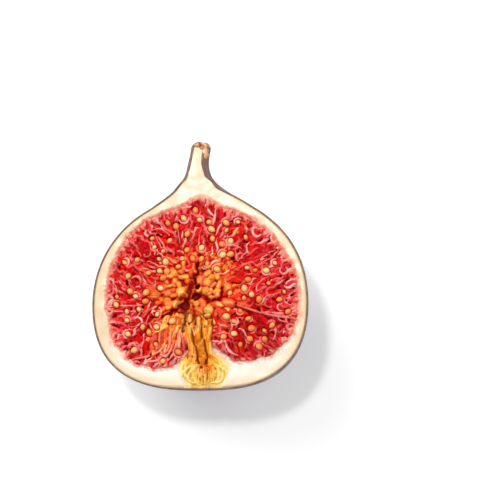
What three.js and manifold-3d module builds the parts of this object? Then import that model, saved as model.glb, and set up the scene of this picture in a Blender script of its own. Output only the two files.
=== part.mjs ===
// A fresh fig cut in half from stalk to eye, lying on its round back with the cut face up.
//
// A fig is a hollow fleshy cup. Hundreds of tiny flowers grow from its inner wall towards a small
// cavity, each one ends in a hard golden seed, and a plug of golden scales closes the eye at the
// bottom. So the half is built as three solids that grew together:
//   rind        the skin with the pale flesh under it and the stalk, cut flat
//   pulp        the red flowers with their seeds, which fill the cup
//   eye_scales  the golden scales in the eye, which fan out at the bottom
//
// Millimetres. +Y runs from the eye to the stalk, +X across the cut face, +Z up out of it. The
// model is made about the fig's own axis, with the eye end at y = 0 and the cut face at z = 0, and
// is then moved so that the origin lies on the surface it rests on, under the middle of its box.
import * as THREE from "three";
import { mergeVertices } from "three/addons/utils/BufferGeometryUtils.js";
import Module from "manifold-3d";

const wasm = await Module();
wasm.setup();

// ---------------------------------------------------------------------------------------------
// Driving dimensions
// ---------------------------------------------------------------------------------------------
const BELLY_RADIUS = 28; // half the width of the fig
const BELLY_HEIGHT = 22.3; // from the eye end to the widest place
const LENGTH = 65; // eye end to stalk tip
const SHOULDER = { radius: 13.4, height: 47.3 }; // where the round belly turns into the hollow neck
const STALK_FOOT = { radius: 3.0, height: 56.5 };
const STALK_RADIUS = 2.5;
const FLAT_DEPTH = 0.7; // how far the soft back is pressed flat where it rests
const WALL = 3.3; // skin and pale flesh at the belly
const GAP = 0.3; // kept between solids that touch
const PULP_TOP = -0.55; // the beds that flowers and scales lie on, just under the cut
const SEED_RADIUS = 0.9;

// ---------------------------------------------------------------------------------------------
// Helpers
// ---------------------------------------------------------------------------------------------

// Evenly spread, repeatable numbers from 0 to 1.
function randomFrom(seed) {
  let state = seed >>> 0;
  return () => {
    state = (Math.imul(state, 1664525) + 1013904223) >>> 0;
    return state / 4294967296;
  };
}

const smooth = (low, high, value) => THREE.MathUtils.smoothstep(value, low, high);

// A closed three.js geometry as a manifold-3d solid: shared vertices merged, empty faces dropped.
function solidOf(geometry) {
  const bare = new THREE.BufferGeometry();
  bare.setAttribute("position", geometry.getAttribute("position"));
  bare.setIndex(geometry.index);
  const merged = mergeVertices(bare, 1e-4);
  const corners = merged.index ? merged.index.array : [...merged.getAttribute("position").array.keys()];
  const faces = [];
  for (let i = 0; i < corners.length; i += 3) {
    const [a, b, c] = [corners[i], corners[i + 1], corners[i + 2]];
    if (a !== b && b !== c && c !== a) faces.push(a, b, c);
  }
  return new wasm.Manifold(
    new wasm.Mesh({
      numProp: 3,
      vertProperties: merged.getAttribute("position").array,
      triVerts: new Uint32Array(faces),
    }),
  );
}

// A manifold-3d solid as a three.js geometry.
function geometryOf(solid) {
  const mesh = solid.getMesh();
  const positions = new Float32Array(mesh.numVert * 3);
  for (let i = 0; i < mesh.numVert; i++) {
    const start = i * mesh.numProp;
    positions.set(mesh.vertProperties.subarray(start, start + 3), i * 3);
  }
  const geometry = new THREE.BufferGeometry();
  geometry.setAttribute("position", new THREE.BufferAttribute(positions, 3));
  geometry.setIndex(new THREE.BufferAttribute(new Uint32Array(mesh.triVerts), 1));
  geometry.computeVertexNormals();
  return geometry;
}

// The largest body of a solid: a cut can leave a loose scrap of a flower behind.
const largest = (solid) => solid.decompose().sort((a, b) => b.volume() - a.volume())[0];

// A solid of revolution about Y. `profile` is a list of Vector2 (radius, height) that starts and
// ends on the axis, and `shape` moves each vertex off the plain round form.
function spun(profile, segments, shape = () => {}) {
  const geometry = new THREE.LatheGeometry(profile, segments);
  const positions = geometry.getAttribute("position");
  const point = new THREE.Vector3();
  for (let i = 0; i < positions.count; i++) {
    point.fromBufferAttribute(positions, i);
    shape(point);
    positions.setXYZ(i, point.x, point.y, point.z);
  }
  return solidOf(geometry);
}

// A profile moved inwards by `inset` along its own normals. The two ends stay on the axis.
function insetProfile(profile, inset) {
  return profile.map((point, i) => {
    if (i === 0) return new THREE.Vector2(0, point.y + inset);
    if (i === profile.length - 1) return new THREE.Vector2(0, point.y - inset);
    const along = new THREE.Vector2().subVectors(profile[i + 1], profile[i - 1]).normalize();
    return new THREE.Vector2(point.x - along.y * inset, point.y + along.x * inset);
  });
}

const box = (low, high) => {
  const size = new THREE.Vector3().subVectors(high, low);
  const middle = new THREE.Vector3().addVectors(low, high).multiplyScalar(0.5);
  return solidOf(new THREE.BoxGeometry(size.x, size.y, size.z).translate(middle.x, middle.y, middle.z));
};
const REACH = 100; // half the size of the boxes that cut whole sides away
const above = (z) => box(new THREE.Vector3(-REACH, -REACH, z), new THREE.Vector3(REACH, REACH, z + REACH));
const below = (z) => box(new THREE.Vector3(-REACH, -REACH, z - REACH), new THREE.Vector3(REACH, REACH, z));

// ---------------------------------------------------------------------------------------------
// Profiles, as radius and height above the eye end
// ---------------------------------------------------------------------------------------------
const EYE = { radius: 2.6, dip: 0.8 }; // the small sunk scar round the eye

const outerProfile = new THREE.Path()
  .moveTo(0, EYE.dip)
  .quadraticCurveTo(EYE.radius * 0.8, EYE.dip, EYE.radius, 0.1)
  .bezierCurveTo(19.3, -0.3, BELLY_RADIUS, 7, BELLY_RADIUS, BELLY_HEIGHT)
  .bezierCurveTo(BELLY_RADIUS, 35.2, 21, 43.3, SHOULDER.radius, SHOULDER.height)
  .bezierCurveTo(9, 49.8, 3.6, 51.6, STALK_FOOT.radius, STALK_FOOT.height)
  .bezierCurveTo(2.6, 58.4, STALK_RADIUS, 59.5, STALK_RADIUS, 61)
  .bezierCurveTo(STALK_RADIUS, 62.4, 3.0, 62.6, 2.9, 63.6) // the swollen joint it was picked at
  .quadraticCurveTo(2.7, 64.6, 1.7, LENGTH)
  .lineTo(0, LENGTH - 0.5)
  .getSpacedPoints(40);

// The cup inside. Its floor rises round the eye in a low mound, as the flesh does there.
const INNER_RADIUS = BELLY_RADIUS - WALL;
const cupProfile = new THREE.Path()
  .moveTo(0, 11)
  .lineTo(3.6, 11.4)
  .bezierCurveTo(5.6, 10.4, 6.0, 6.0, 12, 6.0)
  .bezierCurveTo(20.5, 6.0, INNER_RADIUS, 12.5, INNER_RADIUS, 24)
  .bezierCurveTo(INNER_RADIUS, 34, 19, 40.8, 12.2, 44.6)
  .bezierCurveTo(8, 46.4, 4.2, 46.6, 0, 49.6)
  .getSpacedPoints(20);

// The plug of scales in the eye: a bell that fans out inside the flesh and runs up to the cavity.
const bellProfile = new THREE.Path()
  .moveTo(0, -0.4)
  .lineTo(2.3, -0.4)
  .bezierCurveTo(3.0, 2.6, 6.6, 1.6, 6.8, 5.4)
  .bezierCurveTo(6.8, 8.6, 4.0, 8.4, 3.8, 12.2)
  .bezierCurveTo(3.7, 15, 4.6, 16.5, 4.2, 18.4)
  .lineTo(0, 19.4)
  .getSpacedPoints(16);

// ---------------------------------------------------------------------------------------------
// Shape of the outside
// ---------------------------------------------------------------------------------------------
const SKIN_SIDES = 56;
const RIBS = { count: 15, height: 0.5, low: 0.15 }; // soft folds, which are `low` as high at the belly
const LUMPS = [0.008, 0.006]; // of the radius, twice and three times round
const POLE = 5; // nearer the axis than this the skin stays round
const STALK_BEND = { back: 1.6, left: 1.3 }; // away from the cut, and sideways where it is thinnest

// Ribs, a slight lumpiness, and the bend of the stalk.
function skinShape(point) {
  const radius = Math.hypot(point.x, point.z);
  const turn = Math.atan2(point.z, point.x);
  const shoulders = smooth(BELLY_HEIGHT - 2, SHOULDER.height + 3, point.y);
  const ribFade = RIBS.low + (1 - RIBS.low) * shoulders * (1 - 0.6 * smooth(54, 62, point.y));
  const ribs = Math.cos(RIBS.count * turn + 1.3 * Math.sin(3 * turn)) * (0.6 + 0.4 * Math.sin(2 * turn + 1));
  const lumps = LUMPS[0] * Math.cos(2 * turn + 0.4) + LUMPS[1] * Math.sin(3 * turn);
  const grown = radius + smooth(0, POLE, radius) * (RIBS.height * ribs * ribFade + lumps * radius);
  const scale = radius > 0 ? grown / radius : 1;
  const bend = smooth(SHOULDER.height - 1, STALK_FOOT.height, point.y);
  const straighter = 1 - 0.6 * smooth(58, LENGTH, point.y);
  point.x = point.x * scale - STALK_BEND.left * bend * straighter;
  point.z = point.z * scale - STALK_BEND.back * bend;
}

// ---------------------------------------------------------------------------------------------
// Rind: skin, pale flesh and stalk in one
// ---------------------------------------------------------------------------------------------
const CUP_SIDES = 32;
const BELL_SIDES = 24;
const cup = spun(cupProfile, CUP_SIDES);
const bell = spun(bellProfile, BELL_SIDES);

function makeRind() {
  const flatSpot = below(-BELLY_RADIUS + FLAT_DEPTH);
  const whole = spun(outerProfile, SKIN_SIDES, skinShape);
  return whole.subtract(above(0)).subtract(flatSpot).subtract(cup).subtract(bell);
}

// ---------------------------------------------------------------------------------------------
// Pulp: flowers and seeds round the cavity
// ---------------------------------------------------------------------------------------------
const HEART = new THREE.Vector2(-2, 24); // the middle of the cavity, which the flowers point to

// Rings of flowers and, nearest the cavity, of round lumps. A ring's share is how far out it lies,
// from 0 at the heart to 1 at the wall. Pitch is the step along a ring.
const FLOWER_RINGS = [0.9, 0.76, 0.62, 0.48, 0.36];
const FLOWER = { length: 5.6, width: 2.9, pitch: 3.8, rise: 0.1, sway: 0.7, tilt: 0.3 };
const LUMP_RINGS = [0.26, 0.16];
const LUMP = { radius: 1.4, pitch: 2.8, rise: -0.2, stretch: 1.3 };
const SEED_SEAT = { side: 1.3, height: 0.1 }; // beside its flower, half out of the cut
const SIZE_SPREAD = 0.4; // from the smallest flower to the largest, as a share of the middle size

// The arms of the cavity: where each one ends, and its width. They all start near the heart.
const CAVITY_CORE = new THREE.Vector2(-3.4, 22);
const CAVITY_DEPTH = 7;
const CAVITY_OVERREACH = 1.24; // so that the arms run into each other at the core
const CAVITY_ARMS = [
  { end: new THREE.Vector2(-0.4, 32), width: 1.3 },
  { end: new THREE.Vector2(-10.8, 17.8), width: 1.1 },
  { end: new THREE.Vector2(-5.0, 14.6), width: 0.9 },
  { end: new THREE.Vector2(3.4, 23.4), width: 0.9 },
];

// The rim of the cup on the cut face, as a closed line that the flowers are spread along.
const rightSide = cupProfile.slice(1, -1);
const leftSide = rightSide.map((point) => new THREE.Vector2(-point.x, point.y)).reverse();
const rim = new THREE.CatmullRomCurve3(
  [...rightSide, ...leftSide].map((point) => new THREE.Vector3(point.x, point.y, 0)),
  true,
);

// One flower: a drop with its thin root at the wall and its fat end towards the cavity.
const FLOWER_SIDES = 4;
const dropProfile = [
  [0, 0.5],
  [0.44, 0.22],
  [0.34, -0.2],
  [0, -0.5],
].map(([radius, height]) => new THREE.Vector2(radius, height)).reverse();

function drop(length, width, middle, heading, pitch) {
  const geometry = new THREE.LatheGeometry(dropProfile, FLOWER_SIDES);
  geometry.scale(width, length, width);
  geometry.rotateX(pitch);
  geometry.rotateZ(heading - Math.PI / 2);
  return solidOf(geometry.translate(middle.x, middle.y, middle.z));
}

function ball(radius, middle, stretch = 1, heading = 0) {
  const geometry = new THREE.IcosahedronGeometry(radius, 0);
  geometry.scale(stretch, 1, 1);
  geometry.rotateZ(heading);
  return solidOf(geometry.translate(middle.x, middle.y, middle.z));
}

// Calls `place` for each spot of a ring round the heart, with the heading from there to the heart.
function aroundHeart(share, pitch, random, place) {
  const count = Math.round((rim.getLength() * share) / pitch);
  for (let i = 0; i < count; i++) {
    const root = rim.getPointAt(((i + 0.7 * random()) / count) % 1);
    const outward = new THREE.Vector2(root.x - HEART.x, root.y - HEART.y);
    const reach = share + 0.05 * (random() - 0.5);
    const spot = new THREE.Vector3(HEART.x + outward.x * reach, HEART.y + outward.y * reach, PULP_TOP);
    place(spot, Math.atan2(-outward.y, -outward.x), i);
  }
}

function makeFlowers() {
  const random = randomFrom(7);
  const around = (middle, spread) => middle + spread * (random() - 0.5);
  const pieces = [];
  for (const share of FLOWER_RINGS) {
    aroundHeart(share, FLOWER.pitch, random, (spot, heading, i) => {
      const length = FLOWER.length * around(1, SIZE_SPREAD);
      const turned = around(heading, FLOWER.sway);
      const width = FLOWER.width * around(1, SIZE_SPREAD);
      spot.z += FLOWER.rise;
      pieces.push(drop(length, width, spot, turned, around(0, FLOWER.tilt)));
      if (i % 3 === 1) return;
      const side = SEED_SEAT.side * (random() < 0.5 ? -1 : 1);
      const seat = new THREE.Vector3(-side * Math.sin(heading), side * Math.cos(heading), 0).add(spot);
      seat.z = SEED_SEAT.height;
      pieces.push(ball(SEED_RADIUS, seat));
    });
  }
  for (const share of LUMP_RINGS) {
    aroundHeart(share, LUMP.pitch, random, (spot, heading) => {
      spot.z += LUMP.rise;
      pieces.push(ball(LUMP.radius * around(1, 0.5 * SIZE_SPREAD), spot, LUMP.stretch, heading));
    });
  }
  return pieces;
}

function makeCavity() {
  return CAVITY_ARMS.map(({ end, width }) => {
    const along = new THREE.Vector2().subVectors(end, CAVITY_CORE);
    const geometry = new THREE.SphereGeometry(1, 6, 4);
    geometry.scale((CAVITY_OVERREACH * along.length()) / 2, width, CAVITY_DEPTH);
    geometry.rotateZ(along.angle());
    return solidOf(geometry.translate(CAVITY_CORE.x + along.x / 2, CAVITY_CORE.y + along.y / 2, 0));
  });
}

function makePulp() {
  const room = spun(insetProfile(cupProfile, GAP), CUP_SIDES);
  const base = room.subtract(above(PULP_TOP));
  const grown = wasm.Manifold.union([base, ...makeFlowers()]).intersect(room);
  return largest(grown.subtract(wasm.Manifold.union([bell, ...makeCavity()])));
}

// ---------------------------------------------------------------------------------------------
// Eye scales: golden scales from the eye up to the cavity
// ---------------------------------------------------------------------------------------------
const SCALE_ROWS = [
  { height: 3.6, count: 9, spread: 5.2, length: 5.0, width: 1.9, fan: 1.0 },
  { height: 7.6, count: 7, spread: 3.9, length: 5.4, width: 1.7, fan: 0.55 },
  { height: 11.6, count: 5, spread: 2.6, length: 5.6, width: 1.6, fan: 0.25 },
  { height: 15.6, count: 5, spread: 2.9, length: 5.0, width: 1.5, fan: -0.25 },
];

function makeEyeScales() {
  const room = spun(insetProfile(bellProfile, GAP), BELL_SIDES);
  const base = room.subtract(above(PULP_TOP));
  const scales = SCALE_ROWS.flatMap(({ height, count, spread, length, width, fan }) =>
    Array.from({ length: count }, (_, i) => {
      const across = (2 * i) / (count - 1) - 1;
      const middle = new THREE.Vector3(spread * across, height - 0.5 * across * across, PULP_TOP);
      return drop(length, width, middle, Math.PI / 2 + fan * across, 0);
    }),
  );
  return largest(wasm.Manifold.union([base, ...scales]).intersect(room));
}

// ---------------------------------------------------------------------------------------------
// Materials and the finished group
// ---------------------------------------------------------------------------------------------
const material = (color, roughness) => new THREE.MeshStandardMaterial({ color, roughness, metalness: 0 });

const fig = new THREE.Group();
fig.name = "half_fig";

function addNode(name, solid, finish) {
  const mesh = new THREE.Mesh(geometryOf(solid), finish);
  mesh.name = name;
  fig.add(mesh);
}

addNode("rind", makeRind(), material(0x6b4f68, 0.5));
addNode("pulp", makePulp(), material(0xb8141c, 0.25));
addNode("eye_scales", makeEyeScales(), material(0xe0a23a, 0.35));

// The origin goes to the middle of the box, at the height of the flat spot that it rests on.
const bounds = new THREE.Box3().setFromObject(fig);
const centre = bounds.getCenter(new THREE.Vector3());
fig.position.set(-centre.x, -centre.y, -bounds.min.z);

export default fig;
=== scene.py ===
# %% [markdown]
# # Half a fresh fig
# A fig is a fleshy cup turned inside out: its wall is the rind, and hundreds of tiny flowers grow
# inwards from it towards a small cavity. Cut it from stalk to eye and you see, from the outside in,
# a thin dark skin, a ring of cream flesh, a bed of red flowers with golden seeds among them, orange
# flower tips round the dark cavity, and a plug of golden scales that closes the eye.
# The lesson builds those layers one by one, round a measured model that is loaded first and that
# never changes. It says where each layer starts and ends.

# %% Load the measured model
import math

import bpy
import numpy as np
from mathutils import Matrix, Vector, noise


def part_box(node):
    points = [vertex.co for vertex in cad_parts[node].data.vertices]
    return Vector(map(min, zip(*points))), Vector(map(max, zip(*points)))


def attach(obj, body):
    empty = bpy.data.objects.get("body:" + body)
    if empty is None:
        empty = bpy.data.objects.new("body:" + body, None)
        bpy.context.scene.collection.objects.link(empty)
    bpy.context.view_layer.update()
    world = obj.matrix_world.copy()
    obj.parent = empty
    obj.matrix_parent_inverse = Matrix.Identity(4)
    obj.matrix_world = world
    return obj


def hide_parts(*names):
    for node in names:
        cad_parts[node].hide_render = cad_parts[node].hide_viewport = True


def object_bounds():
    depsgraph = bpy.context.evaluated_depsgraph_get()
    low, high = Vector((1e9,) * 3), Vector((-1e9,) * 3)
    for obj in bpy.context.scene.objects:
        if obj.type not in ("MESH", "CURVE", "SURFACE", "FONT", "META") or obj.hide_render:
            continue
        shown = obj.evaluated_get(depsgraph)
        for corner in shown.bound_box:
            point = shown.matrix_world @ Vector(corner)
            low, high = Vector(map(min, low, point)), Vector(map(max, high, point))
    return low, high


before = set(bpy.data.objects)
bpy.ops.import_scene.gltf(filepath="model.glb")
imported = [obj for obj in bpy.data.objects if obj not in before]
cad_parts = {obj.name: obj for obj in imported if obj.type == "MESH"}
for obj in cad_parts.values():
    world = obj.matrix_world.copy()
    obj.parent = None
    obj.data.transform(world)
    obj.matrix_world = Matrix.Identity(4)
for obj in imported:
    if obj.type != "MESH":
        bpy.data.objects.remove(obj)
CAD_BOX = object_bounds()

MM = 0.001
SKIN_START = 0.1
rind_low, rind_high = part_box("rind")
CUT_Z = rind_high.z
EYE_Y = rind_low.y - SKIN_START * MM
print("nodes:", sorted(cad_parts), "cut face at", round(CUT_Z / MM, 2), "mm")

# %% [markdown]
# ## The fig's own coordinates
# It is easiest to think of a fig about its own axis. So every piece is drawn in millimetres, with
# the eye end at y = 0, the stalk towards +Y, and the cut face at z = 0 looking up. `seat` then
# scales a finished mesh to metres and moves it to where the measured model is. The object itself
# stays at the origin, unturned, so a pattern in a material never slides.

# %% Helpers for drawing and placing
FIG_TO_FRAME = Matrix.Translation((0, EYE_Y, CUT_Z)) @ Matrix.Scale(MM, 4)


def smooth(low, high, value):
    """A soft step: 0 at `low` and 1 at `high`, whichever of them is the larger."""
    share = np.clip((value - low) / (high - low), 0, 1)
    return share * share * (3 - 2 * share)


def mottle(x, y, size, layer):
    """Cloudy values, about -1 to 1, with clouds about `size` across. Each layer has its own."""
    return noise.noise(Vector((x / size, y / size, layer)))


def random_from(seed):
    """Evenly spread, repeatable numbers from 0 to 1."""
    state = seed

    def draw():
        nonlocal state
        state = (state * 1664525 + 1013904223) % 4294967296
        return state / 4294967296

    return draw


def make_active(piece):
    for other in bpy.context.selected_objects:
        other.select_set(False)
    piece.select_set(True)
    bpy.context.view_layer.objects.active = piece


def apply_place(piece):
    """Puts an object's place, turn and size into its mesh."""
    make_active(piece)
    bpy.ops.object.transform_apply(location=True, rotation=True, scale=True)


def drawn(name, points, faces):
    """A mesh drawn point by point, as the start of a piece."""
    mesh = bpy.data.meshes.new(name)
    mesh.from_pydata([tuple(map(float, p)) for p in points], [], faces)
    piece = bpy.data.objects.new(name, mesh)
    bpy.context.collection.objects.link(piece)
    make_active(piece)
    return piece


def places_of(piece):
    found = np.zeros(len(piece.data.vertices) * 3)
    piece.data.vertices.foreach_get("co", found)
    return found.reshape(-1, 3)


def move_to(piece, places):
    piece.data.vertices.foreach_set("co", np.asarray(places, float).ravel())
    piece.data.update()


def store(piece, name, values):
    """Keeps one number for each vertex, or three, for a material to read."""
    values = np.asarray(values, np.float32)
    kind = "FLOAT" if values.ndim == 1 else "FLOAT_VECTOR"
    attribute = piece.data.attributes.new(name, kind, "POINT")
    attribute.data.foreach_set("value" if kind == "FLOAT" else "vector", values.ravel())


def stored(piece, name):
    found = np.zeros(len(piece.data.vertices))
    piece.data.attributes[name].data.foreach_get("value", found)
    return found


def seat(piece, replaced, slot, *finishes):
    """Moves a finished piece to its place, gives it its finishes and hides the part that it replaces."""
    make_active(piece)
    bpy.ops.object.shade_smooth()
    piece.data.transform(FIG_TO_FRAME)
    for finish in finishes:
        piece.data.materials.append(finish.material)
    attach(piece, "root")
    if replaced:
        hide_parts(replaced)
    piece.data.calc_loop_triangles()
    print(piece.name, len(piece.data.loop_triangles), "triangles")


# %% [markdown]
# ## Finishes from nodes
# A finish is a small graph of nodes. A graph could be wired node by node, but then every finish
# would be pages long. So `Finish` makes a Principled shader with its plain values set on the
# shader's own sockets, where an exporter can read them, and each of its methods adds a node or two
# and returns what comes out, ready to be handed on.

# %% Helpers for materials


def colour(red, green, blue):
    """A colour given on a 0 to 255 scale, in the linear light that shaders use."""
    scaled = [c / 255 for c in (red, green, blue)]
    return tuple(c / 12.92 if c <= 0.04045 else ((c + 0.055) / 1.055) ** 2.4 for c in scaled) + (1,)


class Finish:
    """One material, whose colours are picked as red, green and blue from 0 to 255."""

    def __init__(self, name, inputs):
        self.material = bpy.data.materials.new(name)
        self.material.use_nodes = True
        self.nodes = self.material.node_tree.nodes
        self.shader = self.nodes["Principled BSDF"]
        for key, value in inputs.items():
            self.shader.inputs[key].default_value = value

    def wire(self, key, socket):
        self.material.node_tree.links.new(socket, self.shader.inputs[key])

    def node(self, kind, inputs, **settings):
        """Adds one node, sets its plain values and wires the sockets that are handed to it."""
        made = self.nodes.new("ShaderNode" + kind)
        for key, value in settings.items():
            setattr(made, key, value)
        for key, value in inputs.items():
            if isinstance(value, bpy.types.NodeSocket):
                self.material.node_tree.links.new(value, made.inputs[key])
            else:
                made.inputs[key].default_value = value
        return made

    def place(self):
        """Object coordinates, with one unit to the millimetre."""
        coordinates = self.node("TexCoord", {}).outputs["Object"]
        scale = (1 / MM, 1 / MM, 1 / MM)
        return self.node("Mapping", {"Vector": coordinates, "Scale": scale}).outputs[0]

    def kept(self, name):
        """What the mesh keeps under a name: "Fac" is its one number, "Vector" its three."""
        return self.node("Attribute", {}, attribute_name=name).outputs

    def split(self, vector):
        return self.node("SeparateXYZ", {"Vector": vector}).outputs

    def grain(self, scale, detail=3.0, roughness=0.5, distortion=0.0, vector=None):
        """A cloudy noise over the piece, or over a vector of its own."""
        inputs = {"Vector": self.place() if vector is None else vector, "Scale": scale}
        inputs |= {"Detail": detail, "Roughness": roughness, "Distortion": distortion}
        return self.node("TexNoise", inputs).outputs["Fac"]

    def levels(self, value, low, high, bottom=0.0, top=1.0):
        """A value stretched so that `low` becomes `bottom` and `high` becomes `top`."""
        inputs = {"Value": value, "From Min": low, "From Max": high, "To Min": bottom, "To Max": top}
        return self.node("MapRange", inputs).outputs[0]

    def uneven(self, value, grain, hollow, crest):
        """A value with a grain added: `hollow` where the grain is low, `crest` where it is high."""
        added = self.levels(grain, 0.3, 0.7, hollow, crest)
        return self.node("Math", {0: value, 1: added}, operation="ADD").outputs[0]

    def ramp(self, value, *stops):
        """A colour ramp. A stop is its place from 0 to 1, then red, green and blue."""
        made = self.node("ValToRGB", {"Fac": value})
        elements = made.color_ramp.elements
        while len(elements) < len(stops):
            elements.new(0.5)
        for element, (place, *shade) in zip(elements, stops):
            element.position = place
            element.color = colour(*shade)
        return made.outputs["Color"]

    def bumped(self, height, strength, distance):
        inputs = {"Height": height, "Strength": strength, "Distance": distance * MM}
        self.wire("Normal", self.node("Bump", inputs).outputs[0])

    def paint(self, base, *layers):
        """Lays shades over a base colour and says how large the graph has grown. A layer is (shade,
        value, low, high, bottom, top): its share is `bottom` at the low value and `top` at the high."""
        for shade, value, *span in layers:
            shade = colour(*shade) if isinstance(shade, tuple) else shade
            share = self.levels(value, *span)
            base = self.node("MixRGB", {"Fac": share, "Color1": base, "Color2": shade}).outputs[0]
        self.wire("Base Color", base)
        print(self.material.name, "has", len(self.nodes), "nodes")


# %% [markdown]
# ## Outlines
# A fruit has no straight edges, so the lines that say where its layers lie are drawn from Bezier
# curves, as radius and height above the eye: the outside of the skin, the wall of the cup that the
# flowers grow from, and the bell that the eye's scales fill. The cup isn't the same on both sides
# of the cut. On the left the flesh is thicker and the foot beside the eye's column lies lower.

# %% Draw the outlines
BELLY_RADIUS = 28.15
BELLY_HEIGHT = 22.3
LENGTH = 64.65
SHOULDER = (13.4, 47.3)
STALK_FOOT = (3.4, 55.2)
STALK_WAIST = (2.4, 60.5)
EYE_RADIUS = 2.2
WALL = {"right": 3.3, "left": 4.5}
FLAT_DEPTH = 0.85


def bezier(*controls, count=24):
    """Points on one Bezier curve of any degree, without its last point."""
    controls = np.array(controls, float)
    share = np.linspace(0, 1, count, endpoint=False)[:, None]
    degree = len(controls) - 1
    weights = [math.comb(degree, i) * share**i * (1 - share) ** (degree - i) for i in range(degree + 1)]
    return sum(weight * control for weight, control in zip(weights, controls))


def evenly(points, count):
    """The same line with evenly spaced points."""
    points = np.asarray(points, float)
    steps = np.linalg.norm(np.diff(points, axis=0), axis=1)
    length = np.concatenate([[0], np.cumsum(steps)])
    wanted = np.linspace(0, length[-1], count)
    return np.stack([np.interp(wanted, length, points[:, i]) for i in range(points.shape[1])], axis=1)


def line(*curves, end):
    return np.vstack([bezier(*curve) for curve in curves] + [[end]])


skin_line = line(
    ((EYE_RADIUS, SKIN_START), (19.3, -0.3), (BELLY_RADIUS, 7), (BELLY_RADIUS, BELLY_HEIGHT)),
    ((BELLY_RADIUS, BELLY_HEIGHT), (BELLY_RADIUS, 35.2), (21, 43.3), SHOULDER),
    (SHOULDER, (9.6, 50), (5, 52), STALK_FOOT),
    (STALK_FOOT, (2.8, 56.5), (2.5, 58), STALK_WAIST),
    (STALK_WAIST, (2.3, 62), (2.5, 63.2), (2.3, 63.7)),
    ((2.3, 63.7), (2.0, LENGTH), (1.2, LENGTH)),
    end=(0, LENGTH - 0.1),
)


def cup(foot, wall, shoulder):
    """One side of the cup: a foot beside the column, up the wall, over a shoulder to the neck."""
    inner = BELLY_RADIUS - wall
    *rise, (start, along) = foot
    return line(
        *rise,
        (start, along, (inner, 14), (inner, 24)),
        ((inner, 24), (inner, 33), shoulder, (12.0, 44.2)),
        ((12.0, 44.2), (8, 46.2), (4.2, 46.6), (0, 49.6)),
        end=(0, 49.6),
    )


HIGH_FOOT = (
    ((0, 11), (3.6, 11.4)),
    ((3.6, 11.4), (5.2, 10.4), (6.6, 8.5), (11, 8.0)),
    ((11, 8.0), (19.5, 8.1)),
)
LOW_FOOT = (
    ((0, 10.4), (4.0, 10.4)),
    ((4.0, 10.4), (5.0, 9.6), (4.6, 6.6), (8.7, 6.2)),
    ((8.7, 6.2), (20, 6.4)),
)
cup_right = cup(HIGH_FOOT, WALL["right"], (17.8, 40.0))
cup_left = cup(LOW_FOOT, WALL["left"], (19, 40.9))
cup_line = cup(HIGH_FOOT, WALL["left"], (17.8, 40.0))
bell_line = line(
    ((2.3, 0.2), (3.0, 2.6), (6.6, 1.6), (6.8, 5.4)),
    ((6.8, 5.4), (6.8, 8.6), (4.0, 8.4), (3.8, 12.2)),
    ((3.8, 12.2), (3.7, 15), (4.6, 16.5), (4.2, 18.4)),
    end=(4.2, 18.6),
)
print("skin line", len(skin_line), "points, cup line", len(cup_line), "points")

# %% [markdown]
# ## The skin's relief
# A fig isn't perfectly round. Soft ribs run down from the stalk over the shoulders, the belly is a
# little lumpy and swells out just behind the cut, and the stalk leans away from the cut. Because
# the stalk lies behind it, the knife takes a narrower slice of the stalk. `on_fig` turns a radius,
# a height and an angle into a point with all of that in it, and keeps the cut face flat.

# %% Shape of the outside
RIBS = {"count": 15, "height": 0.5, "low": 0.15}
LUMPS = (0.008, 0.006)
POLE = 5.0
STALK_BEND = {"back": 1.9, "left": 1.3, "roll": 0.22}
BULGE = {"height": 0.55, "wide": 0.22}


def on_fig(radius, height, turn, relief):
    """Places for arrays of radius, height and turn. Turn 0 and -pi are the two sides of the cut."""
    bend = smooth(SHOULDER[1] - 1, 58, height)
    back = STALK_BEND["back"] * bend
    edge = np.interp(height, skin_line[:, 1], skin_line[:, 0])
    tilt = np.arcsin(np.clip(back / np.maximum(edge, 0.1), 0, 0.95))
    on_cut = (np.abs(turn) < 1e-4) | (np.abs(turn + math.pi) < 1e-4) | (radius < 1e-3)
    wide = -math.pi / 2 + (turn + math.pi / 2) * (math.pi + 2 * tilt) / math.pi
    shoulders = smooth(BELLY_HEIGHT - 2, SHOULDER[1] + 3, height)
    fade = RIBS["low"] + (1 - RIBS["low"]) * shoulders * (1 - 0.6 * smooth(54, 62, height))
    ribs = np.cos(RIBS["count"] * wide + 1.3 * np.sin(3 * wide)) * (0.6 + 0.4 * np.sin(2 * wide + 1))
    lumps = LUMPS[0] * np.cos(2 * wide + 0.4) + LUMPS[1] * np.sin(3 * wide)
    grown = radius + relief * smooth(0, POLE, radius) * (RIBS["height"] * ribs * fade + lumps * radius)
    to_cut = np.minimum(-turn, turn + math.pi)
    side = 0.6 + 0.4 * np.cos(turn) * smooth(50, 44, height)
    bulge = BULGE["height"] * side * np.exp(-((to_cut / BULGE["wide"]) ** 2))
    grown = grown - bulge * smooth(8, 20, grown)
    left = STALK_BEND["left"] * bend * (1 - 0.6 * smooth(58, LENGTH, height))
    z = np.where(on_cut, 0, grown * np.sin(wide) - back)
    x = grown * np.cos(wide) - left - STALK_BEND["roll"] * bend * z
    return np.stack([x, height, np.maximum(z, FLAT_DEPTH - BELLY_RADIUS)], axis=1)


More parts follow.
